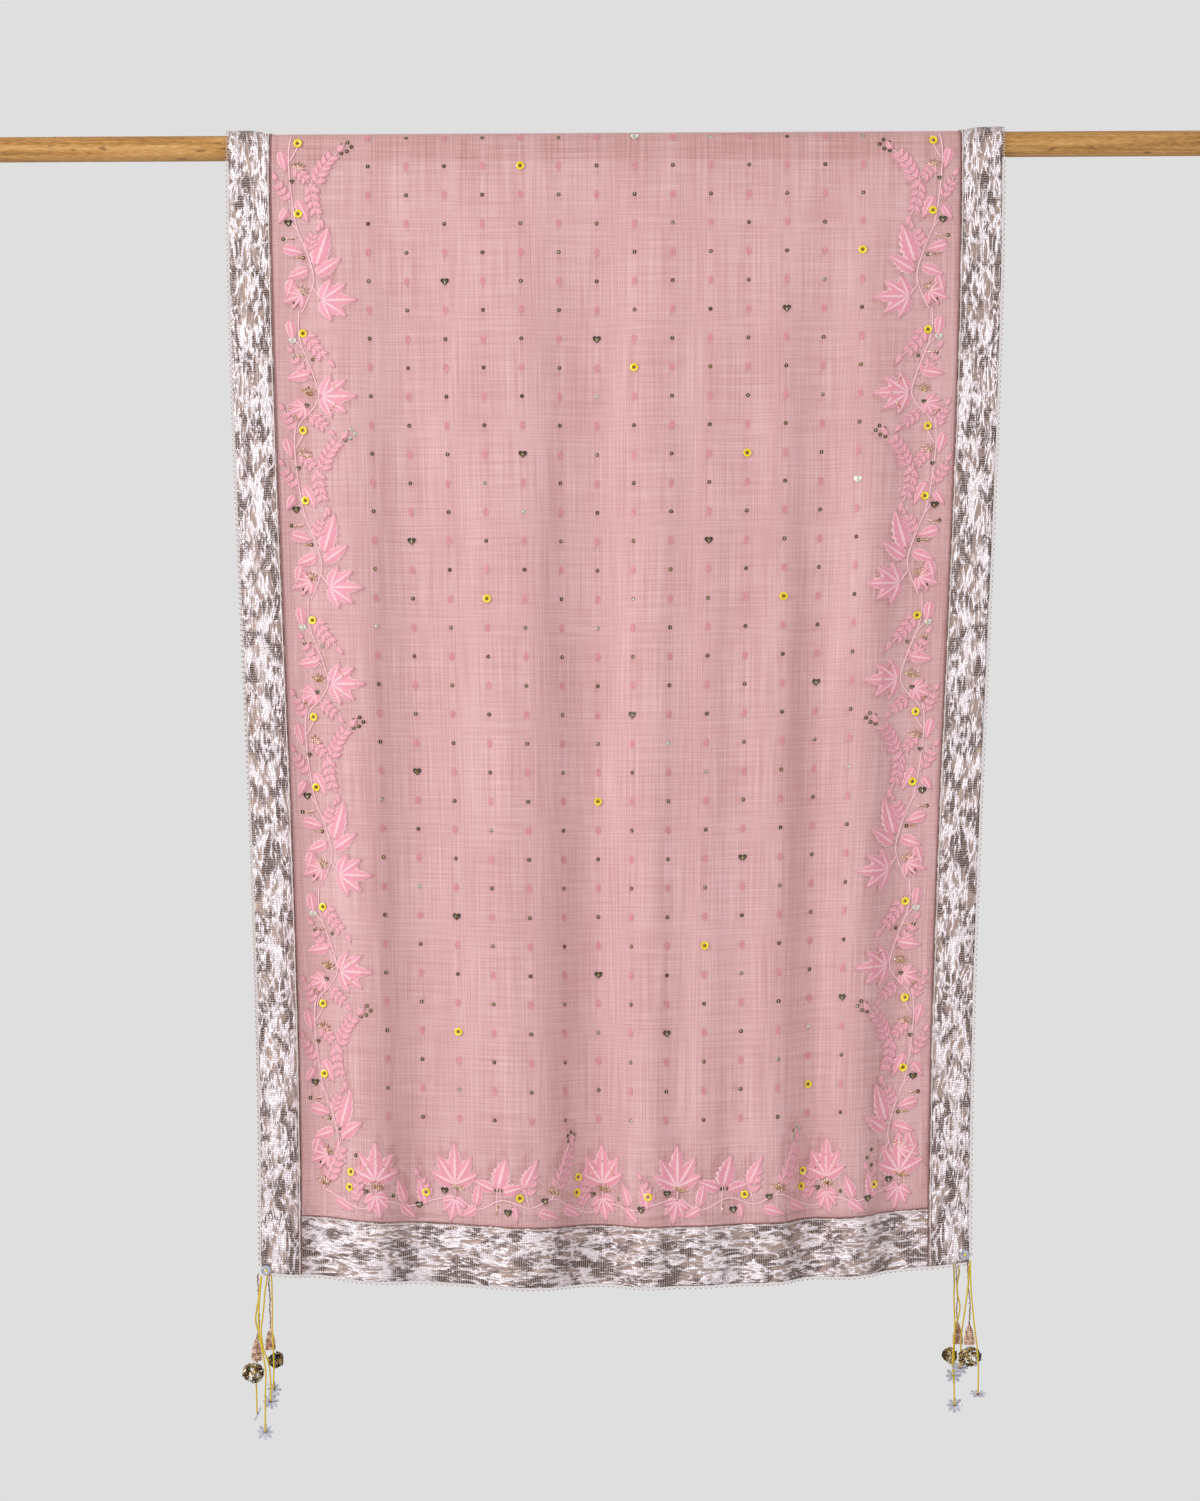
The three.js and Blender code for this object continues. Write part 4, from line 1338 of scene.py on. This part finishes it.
def heartShape():
    # a sewn heart, its point down the cloth, with three metal threads fanned over it
    bm = bmesh.new()
    made = bmesh.ops.create_circle(bm, cap_ends=True, segments=20, radius=1)["verts"]
    for v in made:
        a = math.atan2(v.co.x, v.co.y)
        high = 13 * math.cos(a) - 5 * math.cos(2 * a) - 2 * math.cos(3 * a) - math.cos(4 * a)
        v.co = (16 * math.sin(a) ** 3 * 0.29, -high * 0.29, 0)
    for face in bm.faces:
        face.normal_update()
        if face.normal.z < 0:
            face.normal_flip()
    bmesh.ops.inset_region(bm, faces=bm.faces[:], thickness=0.7, depth=0.9)
    threads = []
    for lean in (-0.55, 0.0, 0.55):
        thread = rod(bm, 5, 0.3, 5.0)
        place = Matrix.Rotation(lean, 4, "Z") @ Matrix.Translation((0, -1.4, 1.0)) @ lying
        bmesh.ops.transform(bm, matrix=Matrix.Translation((0, 2.2, 0)) @ place, verts=thread)
        threads += thread
    secondMaterial(bm, threads)
    return bm


def yellowShape():
    # an eight-lobed cupped spangle with a small bead
    bm = bmesh.new()
    bmesh.ops.create_cone(bm, cap_ends=False, segments=16, radius1=1.5, radius2=4.6, depth=1.3)
    for v in bm.verts:
        if v.co.z > 0:
            lobe = 1 + 0.07 * math.cos(8 * math.atan2(v.co.y, v.co.x))
            v.co = (v.co.x * lobe, v.co.y * lobe, v.co.z)
    bmesh.ops.solidify(bm, geom=bm.faces[:], thickness=0.3)
    bmesh.ops.translate(bm, vec=(0, 0, 0.9), verts=bm.verts)
    bead = bmesh.ops.create_uvsphere(bm, u_segments=8, v_segments=5, radius=1.25)["verts"]
    bmesh.ops.translate(bm, vec=(0, 0, 1.2), verts=bead)
    secondMaterial(bm, bead)
    bmesh.ops.recalc_face_normals(bm, faces=bm.faces)
    return bm


def fanShape():
    # short bugle beads spread up from a knot, with seed beads at their tips
    bm = bmesh.new()
    for k, lean in enumerate((-1.2, -0.75, -0.3, 0.15, 0.6, 1.05)):
        long = 6.5 if k % 2 else 7.6
        bugle = rod(bm, 6, 0.55, long)
        way = Matrix.Rotation(lean + 0.35, 4, "Z")
        place = way @ Matrix.Translation((0, -1.2 - long / 2, 0.7)) @ lying
        bmesh.ops.transform(bm, matrix=place, verts=bugle)
        tip = bmesh.ops.create_uvsphere(bm, u_segments=6, v_segments=4, radius=0.9)["verts"]
        bmesh.ops.transform(bm, matrix=way @ Matrix.Translation((0, -2.0 - long, 0.8)), verts=tip)
    bmesh.ops.recalc_face_normals(bm, faces=bm.faces)
    return bm


def barBeadShape():
    bm = bmesh.new()
    bugle = rod(bm, 6, 0.6, 8.0)
    bmesh.ops.rotate(bm, verts=bugle, cent=(0, 0, 0), matrix=Matrix.Rotation(math.pi / 2, 3, "X"))
    tip = bmesh.ops.create_uvsphere(bm, u_segments=6, v_segments=4, radius=1.2)["verts"]
    bmesh.ops.translate(bm, vec=(0, -5.0, 0), verts=tip)
    bmesh.ops.translate(bm, vec=(0, 0, 0.8), verts=bm.verts)
    bmesh.ops.recalc_face_normals(bm, faces=bm.faces)
    return bm


makeField()
trims = {
    "oval": (ovalShape, "woven_ovals", ["butti"], "embroidery"),
    "sequin": (sequinShape, "sewn_sequins", ["sequin", "metalThread"], "sequins"),
    "heart": (heartShape, "dark_hearts", ["heart", "metalThread"], "sequins"),
    "paleHeart": (heartShape, "pale_hearts", ["paleHeart", "metalThread"], "sequins"),
    "yellow": (yellowShape, "yellow_spangles", ["yellow", "darkBead"], "yellow_spangle"),
    "fan": (fanShape, "bugle_fans", ["metalThread"], "metal_thread"),
    "barBead": (barBeadShape, "bugle_bars", ["metalThread"], "metal_thread"),
}
for kind, (shape, name, materials, slot) in trims.items():
    repeated(name, shape(), smallWork[kind], [finish[m] for m in materials])
print("sewn-on pieces made")


# ---- seam lines: a dark thread on the ground and a pale one on the border ----
def makeSeams(name, offset, material):
    work = FlatWork()
    for hand in (-1, 1):
        across = hand * (seamAcross + offset)
        work.stem([(across, l) for l in rowsAlong(-cloth["back"], cloth["front"])[::2]], 1.1)
    for sign, end in ((1, "front"), (-1, "back")):
        l = sign * (cloth[end] - cloth["endBorder"] + offset)
        work.stem([(a, l) for a in fineRows(-seamAcross, seamAcross, 12.0)], 1.1)
    layOnCloth(work.bm)
    obj = toObject(work.bm, name, [finish[material]])
    thicken(obj, 0.3)
    return obj


seams = [makeSeams("dark_seam", -0.8, "seam"), makeSeams("pale_seam", 1.6, "paleSeam")]
print("seams made")

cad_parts["pole"].data.materials.clear()
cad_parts["pole"].data.materials.append(woodMaterial())

border, end = cloth["sideBorder"] * mm, cloth["endBorder"] * mm

# ---- floor, light and sky ----
studio = {
    "floorDrop": 1.78, "floorHalf": 1.1, "sky": linear(223, 223, 223), "ambient": 0.62,
    "key": {"place": (-3.0, -2.3, 0.5), "size": 1.5, "power": 95},
    "fill": {"place": (2.6, -3.2, 0.2), "size": 2.2, "power": 26},
    "rear": {"place": (-1.2, 3.2, 0.6), "size": 2.0, "power": 60},
}


def makeFloor():
    s = Shader("floor", Roughness=0.8)
    tone = s.noise(s.place(source="Object"), 14, 3)
    s.feed("Base Color", s.ramp(tone, [(0.3, linear(214, 214, 214)), (0.7, linear(224, 224, 224))]))
    bm = bmesh.new()
    bmesh.ops.create_grid(bm, x_segments=4, y_segments=4, size=studio["floorHalf"])
    bmesh.ops.translate(bm, vec=(0, 0, -studio["floorDrop"]), verts=bm.verts)
    mesh = bpy.data.meshes.new("floor")
    bm.to_mesh(mesh)
    bm.free()
    mesh.materials.append(s.material)
    floor = bpy.data.objects.new("floor", mesh)
    scene.collection.objects.link(floor)


def makeLight(name, place, size, power):
    data = bpy.data.lights.new(name, "AREA")
    data.size = size
    data.energy = power
    obj = bpy.data.objects.new(name, data)
    obj.location = place
    aim = Vector((0, 0, -0.6)) - Vector(place)
    obj.rotation_euler = aim.to_track_quat("-Z", "Y").to_euler()
    scene.collection.objects.link(obj)


def makeSky():
    world = bpy.data.worlds.new("sky")
    world.use_nodes = True
    tree = world.node_tree
    tree.nodes.clear()
    seen = tree.nodes.new("ShaderNodeBackground")
    seen.inputs["Color"].default_value = (*studio["sky"], 1)
    lit = tree.nodes.new("ShaderNodeBackground")
    lit.inputs["Color"].default_value = (1, 1, 1, 1)
    lit.inputs["Strength"].default_value = studio["ambient"]
    ray = tree.nodes.new("ShaderNodeLightPath")
    mix = tree.nodes.new("ShaderNodeMixShader")
    out = tree.nodes.new("ShaderNodeOutputWorld")
    tree.links.new(ray.outputs["Is Camera Ray"], mix.inputs[0])
    tree.links.new(lit.outputs[0], mix.inputs[1])
    tree.links.new(seen.outputs[0], mix.inputs[2])
    tree.links.new(mix.outputs[0], out.inputs["Surface"])
    scene.world = world


makeFloor()
for name in ("key", "fill", "rear"):
    makeLight(name, **studio[name])
makeSky()
print("stage made")
